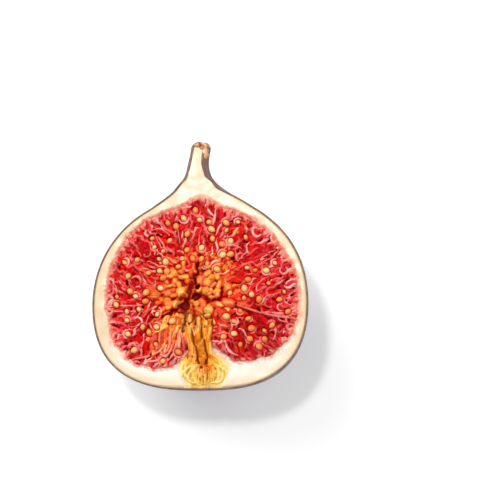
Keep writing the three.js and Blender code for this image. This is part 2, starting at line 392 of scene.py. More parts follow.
def turned(name, columns, across, steps):
    """Spins a strip of faces half a turn about the fig's axis. `columns` are lines of equal length,
    `across` is each line's share of the way from the skin to the pulp."""
    rows = len(columns[0])
    points = [(r, y, 0) for column in columns for r, y in column]
    faces = [
        (c * rows + i, c * rows + i + 1, (c + 1) * rows + i + 1, (c + 1) * rows + i)
        for c in range(len(columns) - 1)
        for i in range(rows - 1)
    ]
    piece = drawn(name, points, faces)
    store(piece, "across", np.repeat(across, rows))
    bpy.ops.object.mode_set(mode="EDIT")
    bpy.ops.mesh.select_all(action="SELECT")
    bpy.ops.mesh.spin(steps=steps, angle=math.pi, center=(0, 0, 0), axis=(0, -1, 0))
    bpy.ops.mesh.select_all(action="SELECT")
    bpy.ops.mesh.remove_doubles(threshold=1e-4)
    bpy.ops.mesh.normals_make_consistent(inside=False)
    bpy.ops.object.mode_set(mode="OBJECT")
    return piece


def polar(places):
    radius = np.hypot(places[:, 0], places[:, 2])
    turn = np.arctan2(-np.abs(places[:, 2]), places[:, 0])
    return radius, places[:, 1], np.where(radius < 1e-3, -math.pi / 2, turn)


def inset(points, depth):
    """A line moved towards the inside of the fig."""
    along = np.gradient(points, axis=0)
    along /= np.linalg.norm(along, axis=1)[:, None]
    moved = points + depth * np.stack([-along[:, 1], along[:, 0]], axis=1)
    moved[:, 0] = np.maximum(moved[:, 0], 0)
    return moved


# %% [markdown]
# ## Skin finish
# Ripe dark skin is a purple that is nearly black, under a thin waxy bloom that scatters light and
# makes it look mauve and dusty. Fine streaks run from stalk to eye, and small pale pores are
# scattered over it. The streaks have to follow the skin, so the mesh carries a map of its own:
# how far round and how far along each point lies. Towards the stalk the skin turns brown and dry.

# %% Skin material
skin_finish = Finish("fig_skin", {"Roughness": 0.5, "Sheen Weight": 0.12, "Sheen Roughness": 0.5})
skin_map = skin_finish.node("UVMap", {}, uv_map="round_and_along").outputs["UV"]
long_and_thin = skin_finish.node("Mapping", {"Vector": skin_map, "Scale": (60, 4, 1)}).outputs[0]
streaks = skin_finish.grain(1.6, detail=5.0, distortion=0.3, vector=long_and_thin)
clouds = skin_finish.grain(0.09, detail=4.0, roughness=0.6)
speckle = skin_finish.grain(1.6, detail=2.0)
pores = skin_finish.node("TexVoronoi", {"Vector": skin_finish.place(), "Scale": 0.28}, feature="F1")
along_skin = skin_finish.split(skin_map)["Y"]

skin_finish.wire("Roughness", skin_finish.levels(clouds, 0.3, 0.7, 0.42, 0.62))
skin_finish.bumped(streaks, 0.35, 0.25)
skin_finish.paint(
    skin_finish.ramp(clouds, (0.3, 62, 44, 64), (0.5, 92, 74, 96), (0.72, 132, 112, 138)),
    ((150, 130, 152), streaks, 0.45, 0.75, 0, 0.5),  # bloom in pale streaks
    ((48, 32, 48), streaks, 0.2, 0.42, 0.45, 0),  # dark veins
    ((165, 148, 165), speckle, 0.55, 0.8, 0, 0.25),  # dust
    ((190, 150, 130), pores.outputs["Distance"], 0.05, 0.1, 1, 0),  # pores
    ((142, 100, 78), along_skin, 0.78, 0.95, 0, 0.85),  # dry neck
)

edge_finish = Finish("skin_cut_edge", {"Roughness": 0.45})
edge_finish.paint(edge_finish.ramp(edge_finish.grain(0.6), (0.3, 100, 66, 54), (0.7, 150, 114, 92)))

# %% [markdown]
# ## The skin
# On the cut face the skin is only a dark line, but from the side it is what you see of a fig. It
# could be a surface with no thickness, but then the cut would have no edge. So a strip as thick as
# the skin is drawn beside the axis and spun half a turn, which closes it all round.

# %% Skin
SKIN = 0.4
SKIN_ROWS = 170
SKIN_TURNS = 150


def make_skin():
    outside = evenly(skin_line, SKIN_ROWS)
    piece = turned("skin", [outside, inset(outside, SKIN)], [0, 1], steps=SKIN_TURNS)
    radius, height, turn = polar(places_of(piece))
    move_to(piece, on_fig(radius, height, turn, 1 - 0.1 * stored(piece, "across")))
    grain_map = piece.data.uv_layers.new(name="round_and_along")
    corners = np.array([loop.vertex_index for loop in piece.data.loops])
    values = np.stack([-turn / math.pi, height / LENGTH], axis=1)[corners]
    grain_map.data.foreach_set("uv", values.astype(np.float32).ravel())
    seat(piece, "rind", "skin", skin_finish, edge_finish)
    cut = [p for p in piece.data.polygons if p.normal.z > 0.95 and p.center.z > CUT_Z - 0.05 * MM]
    for face in cut:
        face.material_index = 1
    print("cut edge of the skin:", len(cut), "faces")


make_skin()

# %% [markdown]
# ## Flesh finish
# Under the skin the flesh is cream: a little yellower against the skin and in the stalk, whiter
# towards the eye, and flushed with pink where the flowers are rooted in it. The flush runs out into
# the cream in short streaks, so it is a noise stretched from the skin to the pulp. Light enters the
# flesh and comes out again a millimetre away, so it has subsurface scattering.

# %% Flesh material
flesh_finish = Finish(
    "cream_flesh",
    {
        "Roughness": 0.38,
        "Subsurface Weight": 0.25,
        "Subsurface Radius": (1.0, 0.6, 0.35),
        "Subsurface Scale": 0.0015,
        "Coat Weight": 0.25,
        "Coat Roughness": 0.2,
    },
)
to_pulp, along_rim, near_skin = flesh_finish.split(flesh_finish.kept("layer")["Vector"])
along_fig = flesh_finish.split(flesh_finish.place())["Y"]
root_place = flesh_finish.node("CombineXYZ", {"X": along_rim, "Y": to_pulp}).outputs[0]
roots = flesh_finish.grain(1.0, detail=4.0, roughness=0.6, distortion=0.4, vector=root_place)
flush_edge = flesh_finish.uneven(to_pulp, roots, -0.9, 0.9)
EYE_END = EYE_Y / MM
STALK_START = EYE_END + STALK_FOOT[1]

flesh_finish.bumped(flesh_finish.grain(0.9, detail=4.0), 0.25, 0.15)
flesh_finish.paint(
    flesh_finish.ramp(flesh_finish.grain(0.22), (0.3, 231, 200, 160), (0.7, 238, 212, 180)),
    ((246, 233, 214), along_fig, EYE_END + 15, EYE_END + 6),  # whiter towards the eye
    ((232, 200, 146), near_skin, 1.5, 0.0, 0, 0.8),  # yellower under the skin
    ((238, 92, 84), flush_edge, 1.3, -0.1, 0, 0.95),  # the flush
    ((232, 206, 158), along_fig, STALK_START - 3, STALK_START + 7),  # the stalk
)

# %% [markdown]
# ## The rim of the cup
# The flowers' roots push unevenly into the flesh, so the line where red ends and cream starts waves
# in and out. The cup's two smooth sides are joined and pushed outwards by a noise. Where a place
# lies is then told by its distance to this rim, and by its reach: 0 at the heart, the middle of the
# cavity, and 1 at the wall. The eye's scales break through the rim, so their fan and column have
# sides of their own: a left and a right one at each height.

# %% Rim of the cup
RIM_WAVE = 1.0
RIM_POINTS = 420
RIM_SPOTS = 1200
HEART = np.array((-2.0, 24.0))


def waved_rim():
    smooth_rim = evenly(np.vstack([cup_right[1:-1], cup_left[1:-1][::-1] * (-1, 1)]), RIM_POINTS)
    along = np.gradient(smooth_rim, axis=0)
    outward = np.stack([along[:, 1], -along[:, 0]], axis=1) / np.linalg.norm(along, axis=1)[:, None]
    push = [0.5 + 0.75 * mottle(x, y, 3.2, 7) + 0.35 * mottle(x, y, 1.2, 9) for x, y in smooth_rim]
    share = smooth(8, 14, np.abs(smooth_rim[:, 0]) + smooth_rim[:, 1] / 3)
    return smooth_rim + RIM_WAVE * (np.clip(push, 0, 1) * share)[:, None] * outward


rim = waved_rim()
rim_steps = np.linalg.norm(np.roll(rim, -1, axis=0) - rim, axis=1)
rim_length = rim_steps.sum()
rim_along = np.concatenate([[0], np.cumsum(rim_steps)])
rim_closed = np.vstack([rim, rim[:1]])
rim_spots = evenly(rim_closed, RIM_SPOTS)[:-1]
print("rim of the cup:", round(rim_length, 1), "mm round, heart at", HEART)


def from_rim(x, y):
    """Distance of points on the cut face to the rim of the cup, and how far along it they lie."""
    gaps, along = np.zeros(len(x)), np.zeros(len(x))
    for start in range(0, len(x), 4000):
        some = slice(start, start + 4000)
        to_spots = np.hypot(x[some, None] - rim_spots[:, 0], y[some, None] - rim_spots[:, 1])
        gaps[some] = to_spots.min(axis=1)
        along[some] = to_spots.argmin(axis=1) * rim_length / len(rim_spots)
    return gaps, along


def reach_of(x, y):
    """The reach of each place, and the distance from the heart to the wall in its direction."""
    spokes = rim_spots - HEART
    wall = np.hypot(spokes[:, 0], spokes[:, 1])
    turn = np.arctan2(spokes[:, 1], spokes[:, 0])
    radius = np.interp(np.arctan2(y - HEART[1], x - HEART[0]), turn, wall, period=2 * math.pi)
    return np.hypot(x - HEART[0], y - HEART[1]) / radius, radius


COLUMN_SIDES = (
    (0.4, -2.6, 4.9), (2.0, -4.2, 6.3), (4.0, -5.3, 7.4), (5.8, -5.9, 7.9), (7.2, -5.6, 7.3),
    (8.8, -4.7, 5.6), (10.5, -4.1, 3.9), (12.5, -4.1, 3.2), (15.0, -5.0, 3.9), (17.2, -5.5, 4.3),
    (19.2, -5.2, 3.2), (21.5, -4.4, 1.4),
)


def in_column(x, y):
    """Positive inside the fan and column of the eye's scales, in millimetres from its sides."""
    heights, left, right = np.array(COLUMN_SIDES).T
    return np.minimum(x - np.interp(y, heights, left), np.interp(y, heights, right) - x)


# %% [markdown]
# ## The flesh
# The flesh is the wall of the cup, and it fills the neck and the stalk. The same strip-and-spin
# works, with lines laid between the skin and the cup, so the cut face gets a fine grid. It sags a
# little where the knife dragged, curls down at the rim, and dips under the pulp and the scales.

# %% Flesh
FLESH_LINES = 12
FLESH_TURNS = 110
FLESH_ROWS = {"belly": 110, "neck": 42}
FLESH_SINK = 0.12
FAN_DIP = 1.1
RIM_CURL = 0.5
PULP_DIP = 1.8


def make_flesh():
    outside = inset(skin_line, SKIN - 0.04)
    seam = SHOULDER[1] + 2.5
    belly = outside[outside[:, 1] < seam]
    neck = outside[outside[:, 1] >= seam]
    outer = np.vstack([evenly(belly, FLESH_ROWS["belly"]), evenly(neck, FLESH_ROWS["neck"])[1:]])
    cup_top = cup_line[-1, 1]
    mound = np.vstack([cup_line[cup_line[:, 0] > 3.0], cup_line[-1:]])
    heights = np.linspace(cup_top, LENGTH - 0.8, FLESH_ROWS["neck"])[1:]
    axis = np.stack([np.zeros(len(heights)), heights], axis=1)
    inner = np.vstack([evenly(mound, FLESH_ROWS["belly"]), axis])
    shares = np.linspace(0, 1, FLESH_LINES)
    columns = [outer * (1 - share) + inner * share for share in shares]
    piece = turned("flesh", columns, shares, steps=FLESH_TURNS)
    radius, height, turn = polar(places_of(piece))
    across = stored(piece, "across")
    places = on_fig(radius, height, turn, 0.9 * (1 - across))
    x, y, z = places.T
    z = np.maximum(z, FLAT_DEPTH - BELLY_RADIUS + SKIN)
    distance, along = from_rim(x, y)
    reach, rim_radius = reach_of(x, y)
    sag = np.array([0.12 * mottle(a, b, 3.1, 0) for a, b in zip(x, y)])
    dip = FAN_DIP * smooth(-0.2, 1.3, in_column(x, y)) * (y < 19)
    curl = RIM_CURL * smooth(0.8, 0.0, distance)
    in_cup = (np.abs(x) > 3) * (y < cup_top)
    under_pulp = PULP_DIP * smooth(0.2, 1.0, (1 - reach) * rim_radius) * in_cup
    lowered = sag * smooth(0.0, 0.1, across) - FLESH_SINK - dip - curl - under_pulp
    move_to(piece, np.stack([x, y, np.where(z > -1e-3, lowered, z)], axis=1))
    inside_neck = (y > cup_top) & (np.abs(x) < 2)
    store(piece, "layer", np.stack([distance + 3 * inside_neck, along, 4 * across], axis=1))
    seat(piece, "rind", "flesh", flesh_finish)


make_flesh()

# %% [markdown]
# ## The cavity
# The cavity is a narrow slit with a few crooked arms, and beside it lie round pits and flat
# notches. It could be cut with a boolean, but a number for each place is easier to blend: 1 deep in
# the cavity and 0 outside. `ripple`, a field that wanders up and down, makes its edges crooked.

# %% Cavity
def ripple(x, y, size):
    """A wandering field from -1 to 1, with waves about `size` long."""
    u, v = 2 * math.pi * x / size, 2 * math.pi * y / size
    first = np.sin(u + 1.9 * np.sin(0.71 * v + 0.4) + 0.6 * np.sin(1.3 * u))
    second = np.sin(1.09 * v + 1.7 * np.sin(0.83 * u + 2.1) + 0.5 * np.sin(1.7 * v))
    return 0.5 * (first + second)


CAVITY_CORE = np.array((-3.7, 21.8))
CAVITY_FLOOR = -3.0
CAVITY_ARMS = (((-0.6, 33.6), 1.0), ((-12.8, 18.4), 0.62), ((-5.2, 13.4), 0.7))
CAVITY_PITS = (((-4.3, 22.0), 2.2), ((-1.4, 24.2), 1.5), ((-0.8, 26.8), 1.0))
CAVITY_NOTCHES = (((1.4, 23.4), 0.9), ((4.0, 23.3), 1.0))


def pit(x, y, centre, wide, floor=0.3, flat=1.0):
    """1 on the floor of a round pit, 0 from its edge. `flat` makes the pit less tall than wide."""
    return smooth(wide, floor * wide, np.hypot(x - centre[0], flat * (y - centre[1])))


def cavity(x, y):
    """How deep in the cavity each place is: 1 in the middle of its arms, 0 outside."""
    x, y = x + 0.45 * ripple(x, y, 3.1), y + 0.45 * ripple(y, x, 2.7)
    deep = np.zeros(np.shape(x))
    for end, width in CAVITY_ARMS:
        along = np.array(end) - CAVITY_CORE
        share = ((x - CAVITY_CORE[0]) * along[0] + (y - CAVITY_CORE[1]) * along[1]) / along.dot(along)
        share = np.clip(share, 0, 1)
        wander = 0.4 * np.sin(6 * share + 7 * width)
        gap_x = x - CAVITY_CORE[0] - share * along[0] + wander * along[1] / np.linalg.norm(along)
        gap_y = y - CAVITY_CORE[1] - share * along[1] - wander * along[0] / np.linalg.norm(along)
        half = width * (1 - 0.75 * share)
        in_arm = smooth(1.5 * half, 0.3 * half, np.hypot(gap_x, gap_y))
        deep = np.maximum(deep, in_arm * (0.9 - 0.4 * share))
    for centre, wide in CAVITY_PITS:
        deep = np.maximum(deep, pit(x, y, centre, wide, 0.4))
    for centre, wide in CAVITY_NOTCHES:
        deep = np.maximum(deep, 0.6 * pit(x, y, centre, wide, 0.2, 1.3))
    return deep


print(len(CAVITY_ARMS), "arms,", len(CAVITY_PITS), "pits and", len(CAVITY_NOTCHES), "notches")

# %% [markdown]
# ## Rings round the heart
# Every flower is rooted in the wall and points to the heart. Places scattered at random would leave
# gaps and piles. So they stand in rings, at one reach and one pitch, each with a little chance in
# it.

# %% Rings of places round the heart
def rim_spot(along):
    return np.array([np.interp(along % rim_length, rim_along, rim_closed[:, i]) for i in (0, 1)])


def around_heart(reach, pitch, random, jitter):
    """Yields the place, the heading to the heart and the reach of each thing in a ring."""
    count = max(3, round(rim_length * reach / pitch))
    for i in range(count):
        root = rim_spot((i + 0.7 * random()) / count * rim_length)
        own_reach = reach + jitter * (random() - 0.5)
        spot = HEART + (root - HEART) * own_reach
        swirl = 1.1 * mottle(*spot, 6, 3)
        heading = math.atan2(HEART[1] - root[1], HEART[0] - root[0]) + swirl
        yield spot, heading, own_reach


print("a ring at reach 1 and pitch 1.6 has", len(list(around_heart(1, 1.6, random_from(1), 0))), "places")

# %% [markdown]
# ## Pressing shapes into a sheet
# The knife leaves the jelly as one wet face on which hundreds of soft shapes touch and overlap.
# Separate sausages would look like a pile. So the face is made the way a potter embosses clay: a
# fine sheet is laid over the cup and each shape is pressed up from below along a path. Where two
# shapes meet, the higher one shows, and between them a crease is left. The sheet also remembers
# what was pressed where, so the finish can paint lips and bodies apart and paint shade into the
# creases.

# %% A sheet to press into
SHEET_STEP = 0.145


class Sheet:
    """A level patch of the cut face with a height, tone, ripeness and paleness at each place. Tone
    also carries painted shade, and paleness painted highlights.
    """

    def __init__(self, low, high, floor):
        across = np.arange(low[0], high[0], SHEET_STEP)
        along = np.arange(low[1], high[1], SHEET_STEP)
        self.x, self.y = np.meshgrid(across, along, indexing="ij")
        self.height = np.full(self.x.shape, float(floor))
        self.tone = np.full(self.x.shape, 0.2)
        self.ripe = np.zeros(self.x.shape)
        self.pale = np.zeros(self.x.shape)

    def around(self, low, high):
        """The part of the sheet between two corners."""
        start = (self.x[0, 0], self.y[0, 0])
        first = [max(0, int((a - s) / SHEET_STEP)) for a, s in zip(low, start)]
        last = [max(0, int((b - s) / SHEET_STEP) + 2) for b, s in zip(high, start)]
        return slice(first[0], last[0]), slice(first[1], last[1])

    def at(self, values, x, y):
        """Values of the sheet at any places, blended between its own."""
        across = np.clip((x - self.x[0, 0]) / SHEET_STEP, 0, self.x.shape[0] - 1.001)
        along = np.clip((y - self.y[0, 0]) / SHEET_STEP, 0, self.x.shape[1] - 1.001)
        i, j = across.astype(int), along.astype(int)
        a, b = across - i, along - j
        near = values[i, j] * (1 - a) + values[i + 1, j] * a
        return near * (1 - b) + (values[i, j + 1] * (1 - a) + values[i + 1, j + 1] * a) * b

    def settle(self, passes, depth):
        """Softens the relief, then finds what lies deep below its surroundings, for the painted shade
        there.
        """
        self.height = blurred(self.height, 1)
        self.crease_shade = np.clip((blurred(self.height, passes) - self.height) / depth, 0, 1)


def blurred(values, passes):
    for _ in range(passes):
        wide = np.pad(values, 1, mode="edge")
        around = wide[:-2, 1:-1] + wide[2:, 1:-1] + wide[1:-1, :-2] + wide[1:-1, 2:]
        values = (around + 2 * values) / 6
    return values


print("the sheet keeps a place every", SHEET_STEP, "mm")

# %% [markdown]
# ## One shape
# Every sac, thread and bead is a rounded ridge along a path. `off_path` finds how far each place of
# the sheet lies from the path, and `press` turns that into a dome and lays it where it is higher
# than what is there. `strand` draws a bent and swaying path, and `swell` tapers it at both ends.

# %% Press one shape
LIP_HEIGHT = 0.16


def off_path(x, y, path):
    """For places: distance to a path, place along it counted in its points, and side (1 is left)."""
    steps = np.diff(path, axis=0)
    from_x, from_y = x[..., None] - path[:-1, 0], y[..., None] - path[:-1, 1]
    share = np.clip((from_x * steps[:, 0] + from_y * steps[:, 1]) / (steps**2).sum(axis=1), 0, 1)
    gap_x, gap_y = from_x - share * steps[:, 0], from_y - share * steps[:, 1]
    gaps = np.hypot(gap_x, gap_y)
    nearest = gaps.argmin(axis=-1)[..., None]
    side = np.sign(steps[:, 0] * gap_y - steps[:, 1] * gap_x)
    gap, side, share = (np.take_along_axis(a, nearest, -1)[..., 0] for a in (gaps, side, share))
    return gap, nearest[..., 0] + share, side


def press(
    sheet, path, half, low, rise, tone, ripe=None, lip=0.0, pale=0.0, painted_highlight=0.0, blush_and_rim_shade=0.0, wavy=0.22
):
    """Presses a rounded shape up along a path. `half` is its half width and `low` its foot, at each
    point or everywhere. `lip` makes its left edge thin and pale. `painted_highlight` paints a highlight on
    its crown, and `blush_and_rim_shade` makes its sides redder and paints shade on them. With `low` None
    the shape lies on what is there already."""
    half = np.broadcast_to(half, len(path))
    reach = 1.3 * float(np.max(half))
    part = sheet.around(path.min(axis=0) - reach, path.max(axis=0) + reach)
    x, y = sheet.x[part], sheet.y[part]
    if x.size == 0:
        return
    gap, along, side = off_path(x, y, path)
    stops = np.arange(len(path))
    out = gap / np.interp(along, stops, half) * (1 + wavy * ripple(x, y, 2.9))
    dome = np.sqrt(np.clip(1 - out * out, 0, 1))
    edge = smooth(0.3, 0.75, out * side) * (out < 1)
    # Paleness of the shape and its lip, and a painted highlight on its crown.
    strength = np.maximum(pale * smooth(1.0, 0.7, out), lip * edge) + painted_highlight * smooth(0.75, 0.1, out)
    ground = sheet.height[part]
    if low is None:
        strength = np.maximum(strength, sheet.pale[part])
    else:
        ground = np.interp(along, stops, np.broadcast_to(low, len(path)))
    height = ground + rise * dome + LIP_HEIGHT * lip * edge * dome**0.5
    wins = (out < 1) & (height >= sheet.height[part])

    def lay(values, new):
        values[part] = np.where(wins, new, values[part])

    lay(sheet.height, height)
    lay(sheet.pale, strength)
    if low is not None:
        # Painted shade darkens the sides of the shape.
        lay(sheet.tone, tone - 4 * blush_and_rim_shade * smooth(0.6, 1.0, out))
    if ripe is not None:
        lay(sheet.ripe, ripe + blush_and_rim_shade * out * out)


def swell(count, start):
    """Widths that grow to 1 in the middle of a path and shrink again, from the sine of `start`."""
    return np.sin(np.linspace(start, math.pi - start, count))


def strand(spot, heading, length, bend=0.0, sway=0.0, count=8):
    """A path through a spot, bent by an angle along its length and swaying to both sides."""
    share = np.linspace(-0.5, 0.5, count)
    turn = heading + bend * share
    path = np.cumsum(np.stack([np.cos(turn), np.sin(turn)], axis=1) * length / (count - 1), axis=0)
    across = np.array((-math.sin(heading), math.cos(heading)))
    path += np.asarray(spot) - path.mean(axis=0) + sway * np.sin(2 * math.pi * share)[:, None] * across
    return path


# %% [markdown]
# ## Pulp finish
# The flowers are jelly: deep red, wet, and lit through. Their colour follows their place. Next to
# the cavity they have ripened to orange, in the middle they are blood red, and at the wall they
# fade to pink. Three ramps give the colour of a body, of a thin pale lip and of a dark flower for
# each ripeness, and what the sheet remembers mixes them. The dark one is also the painted shade in
# the creases. The coat is thin: a thick one would mirror the white room and turn the reds grey.

# %% Pulp material
WET = {
    "Roughness": 0.3,
    "Subsurface Weight": 0.2,
    "Subsurface Radius": (1.0, 0.3, 0.2),
    "Subsurface Scale": 0.0006,
    "Coat Weight": 0.06,
    "Coat Roughness": 0.04,
    "Specular IOR Level": 0.02,
}

pulp_finish = Finish("red_pulp", WET)
tone, ripe, pale = pulp_finish.split(pulp_finish.kept("growth")["Vector"])
crease_shade, cave, inward = pulp_finish.split(pulp_finish.kept("hollow")["Vector"])
pulp_clouds = pulp_finish.grain(0.6, detail=5.0, roughness=0.65)
pulp_specks = pulp_finish.grain(1.3, distortion=0.6)
root_grain = pulp_finish.grain(1.0, detail=4.0, vector=pulp_finish.kept("roots")["Vector"])
shifted = pulp_finish.uneven(ripe, pulp_clouds, 0.13, -0.13)
mood = pulp_finish.uneven(tone, pulp_specks, -0.4, 0.35)
from_wall = pulp_finish.uneven(inward, root_grain, -1.1, 1.1)
body = pulp_finish.ramp(
    shifted,
    (0.0, 250, 176, 60),
    (0.11, 244, 130, 32),
    (0.22, 234, 76, 18),
    (0.36, 228, 34, 12),
    (0.54, 226, 8, 8),
    (0.85, 214, 2, 14),
    (1.0, 228, 40, 46),
)
lips_and_highlights = pulp_finish.ramp(
    shifted,
    (0.0, 255, 226, 132),
    (0.2, 254, 186, 96),
    (0.42, 246, 124, 82),
    (0.65, 244, 108, 102),
    (1.0, 248, 150, 142),
)
dark_reds_and_shade = pulp_finish.ramp(
    shifted,
    (0.0, 198, 64, 8),
    (0.2, 182, 34, 4),
    (0.4, 158, 6, 2),
    (0.6, 136, 0, 2),
    (1.0, 156, 4, 12),
)
pulp_finish.bumped(pulp_finish.grain(1.6), 0.25, 0.12)
pulp_finish.paint(
    body,
    # Dark flowers, and painted shade beside the seeds and on the sides of tips.
    (dark_reds_and_shade, mood, 0.5, -0.1, 0, 0.85),  # dark flowers
    (lips_and_highlights, mood, 0.8, 1.3, 0, 0.5),  # pale flowers
    # Pale lips and threads, and the painted highlights on the crowns of tips and lumps.
    (lips_and_highlights, pale, 0, 1),
    ((255, 226, 212), pale, 0.6, 1.0, 0, 0.55),  # the light that the palest lips catch
    # Painted shade in the creases between the shapes.
    (dark_reds_and_shade, crease_shade, 0.05, 0.6),
    # Painted shade in the cavity and the deepest gaps.
    ((136, 14, 10), cave, 0.1, 0.8),  # the cavity
    ((250, 176, 150), from_wall, 0.6, -0.5, 0, 0.8),  # fading into the flesh
)

# %% [markdown]
# ## Where the seeds lie
# Each seed sits in its own flower, so its place has to be known before the flowers are pressed.
# Places are drawn by chance and kept where no other seed is too near. More of them lie on the
# right, hardly any beside the eye's column, and none in the cavity or against the wall. Most stand
# a little proud of the face, and some are sunk in it.

# %% Places of the seeds
SEED_COUNT = 86
SEED_GAP = 1.8
SEED_SIZE = 1.6
SEED_LEVEL = -0.3
BARE_SPOTS = (((-8.8, 12.2), 4.4), ((7.4, 10.8), 3.0))


def seed_depth(draw):
    """How far a seed lies above or, for the sunk ones, below the usual level."""
    return 0.35 * draw if draw > 0.3 else 0.8 * draw - 0.42


def seed_places():
    random = random_from(23)
    found = []
    while len(found) < SEED_COUNT:
        along, reach, keep, size, height = (random() for _ in range(5))
        spot = HEART + (rim_spot(along * rim_length) - HEART) * (0.36 + 0.56 * reach)
        crowding = 0.55 + 0.45 * smooth(-6, 10, spot[0]) + 0.3 * smooth(30, 42, spot[1])
        bare = any(np.hypot(*(spot - centre)) < wide for centre, wide in BARE_SPOTS)
        if keep > (0.06 if bare else crowding) or cavity(*spot) > 0.02:
            continue
        if in_column(*spot) > -1.2 and spot[1] < 19:
            continue
        if all(np.hypot(*(spot - other)) > SEED_GAP for other, _, _ in found):
            found.append((spot, SEED_SIZE * (0.74 + 0.42 * size), SEED_LEVEL + seed_depth(height)))
    return found


SEEDS = seed_places()
print(len(SEEDS), "seeds")

# %% [markdown]
# ## Flowers
# The flowers could be stood up one by one, but at this size only their sides and tips show. So each
# is pressed, ring by ring from the wall inwards, as a soft sac with a thin root and a fat tip, some
# of them with a pale lip. Near the heart, and in a few patches, they have ripened to orange. At the
# lower right they stay deep red and plain.

# %% Flowers
RIPE_PATCHES = (
    ((10.8, 42.6), 3.4, 0.45),
    ((-10.2, 10.6), 3.8, 0.36),
    ((-8.0, 15.0), 6.5, 0.3),
    ((-16.5, 12.5), 3.0, 0.25),
    ((6.0, 33.0), 7.0, 0.12),
)
DEEP_SPOT = np.array((14.0, 13.0))
FLOWER_REACHES = np.linspace(1.03, 0.38, 14)
FLOWER = {"length": 3.6, "half": 0.76, "pitch": 1.6}


def ripeness(x, y, reach):
    """0 where the pulp is orange, 1 where it is pink: it falls off from the heart and in patches."""
    away = np.hypot(x - HEART[0], y - HEART[1]) / 24
    found = np.clip(0.45 * reach + 0.55 * away, 0, 1) + 0.15 * smooth(0.85, 1, reach)
    for centre, wide, riper in RIPE_PATCHES:
        found = found - riper * pit(x, y, centre, wide)
    return found


def deep_red(spot):
    """0.7 in the darkest red of the pulp, at the lower right, and 0 away from it."""
    return 0.7 * smooth(11, 5, np.hypot(*(spot - DEEP_SPOT)))


def press_flowers(sheet, random):
    count = 0
    for ring in FLOWER_REACHES:
        for spot, heading, own_reach in around_heart(ring, FLOWER["pitch"], random, 0.07):
            draws = [random() for _ in range(10)]
            size = (0.7 + 0.6 * draws[0]) * (0.75 + 0.25 * smooth(0.2, 0.5, own_reach))
            path = strand(
                spot,
                heading + 1.3 * (draws[1] - 0.5),
                FLOWER["length"] * size,
                bend=4.6 * (draws[2] - 0.5),
                sway=0.6 * (draws[3] - 0.5),
            )
            share = np.linspace(0, 1, len(path))
            half = FLOWER["half"] * (0.7 + 0.6 * draws[4]) * (0.45 + 0.55 * smooth(0, 0.6, share))
            low = -1.15 + 0.6 * draws[5]
            lip = 1.0 if draws[6] < 0.32 * (1 - deep_red(spot)) else 0.1
            early = 0.3 if draws[8] < 0.1 else 0.14 * (draws[4] - 0.5)
            ripe = ripeness(*spot, own_reach) - early
            if draws[9] < 0.5:
                path, half = path[::-1], half[::-1]
            tone = draws[7] - 0.6 * deep_red(spot)
            # A little painted shade on the sides of each flower.
            press(sheet, path, half, low, 0.75, tone, ripe, lip=lip, blush_and_rim_shade=0.05)
            count += 1
    return count


print(len(FLOWER_REACHES), "rings of flowers, ripe in", len(RIPE_PATCHES), "patches besides the heart")

# %% [markdown]
# ## Orange tips and the cavity
# Round the cavity the flowers end in plump orange tips that crowd each other. Most stand in rings
# as the flowers do. The great ones give this fig its look, so they are placed one by one. Then the
# cavity is cut into them.

# %% Orange tips
TIP_RINGS = (0.5, 0.44, 0.38, 0.32, 0.26, 0.2, 0.13)
TIP_LOW = -1.1
GREAT_TIPS = (
    ((-4.2, 25.2), (2.6, 1.8), 0.04), ((1.7, 27.7), (1.8, 1.7), 0.08),
    ((1.9, 20.6), (1.9, 1.8), -0.04), ((7.3, 26.3), (1.5, 1.9), 0.20),
    ((6.8, 20.4), (1.6, 1.5), 0.06), ((-4.7, 31.4), (1.5, 1.3), 0.16),
    ((-4.3, 29.3), (1.9, 1.0), 0.12), ((-1.6, 30.8), (0.8, 1.7), 0.0),
    ((-6.6, 28.3), (1.2, 1.2), 0.16), ((-8.4, 25.1), (1.6, 1.4), 0.22),
    ((-7.6, 22.4), (2.1, 0.9), 0.14), ((-9.4, 17.2), (1.3, 1.1), 0.24),
    ((-6.0, 18.4), (0.8, 1.9), 0.05), ((4.4, 33.2), (1.2, 1.2), 0.26),
    ((8.2, 30.2), (1.1, 1.1), 0.28), ((5.1, 29.9), (0.9, 1.2), 0.10),
    ((4.4, 25.2), (1.1, 1.6), 0.14), ((2.0, 25.0), (1.3, 1.0), 0.12),
    ((-7.4, 18.5), (0.8, 1.6), 0.10), ((-9.0, 19.3), (0.7, 1.3), 0.20),
    ((-7.5, 15.2), (0.8, 1.4), 0.24), ((-5.9, 15.4), (0.7, 1.5), 0.14),
    ((1.6, 33.9), (0.9, 1.2), 0.22), ((-7.4, 31.0), (1.0, 1.1), 0.26),
)


def press_lump(sheet, spot, size, low, ripe=None):
    """An upright or lying oval lump, `size` half wide and half tall."""
    half = min(size)
    reach = max(size) - half + 0.05
    step = (reach, 0.0) if size[0] > size[1] else (0.0, reach)
    path = np.array(spot) + np.outer((-1, 0, 1), step)
    rise = 0.6 + 0.45 * half
    # A painted highlight on the crown and painted shade round the sides.
    press(sheet, path, half, low, rise, 0.6, ripe, lip=0.4, painted_highlight=0.6, blush_and_rim_shade=0.32, wavy=0.07)


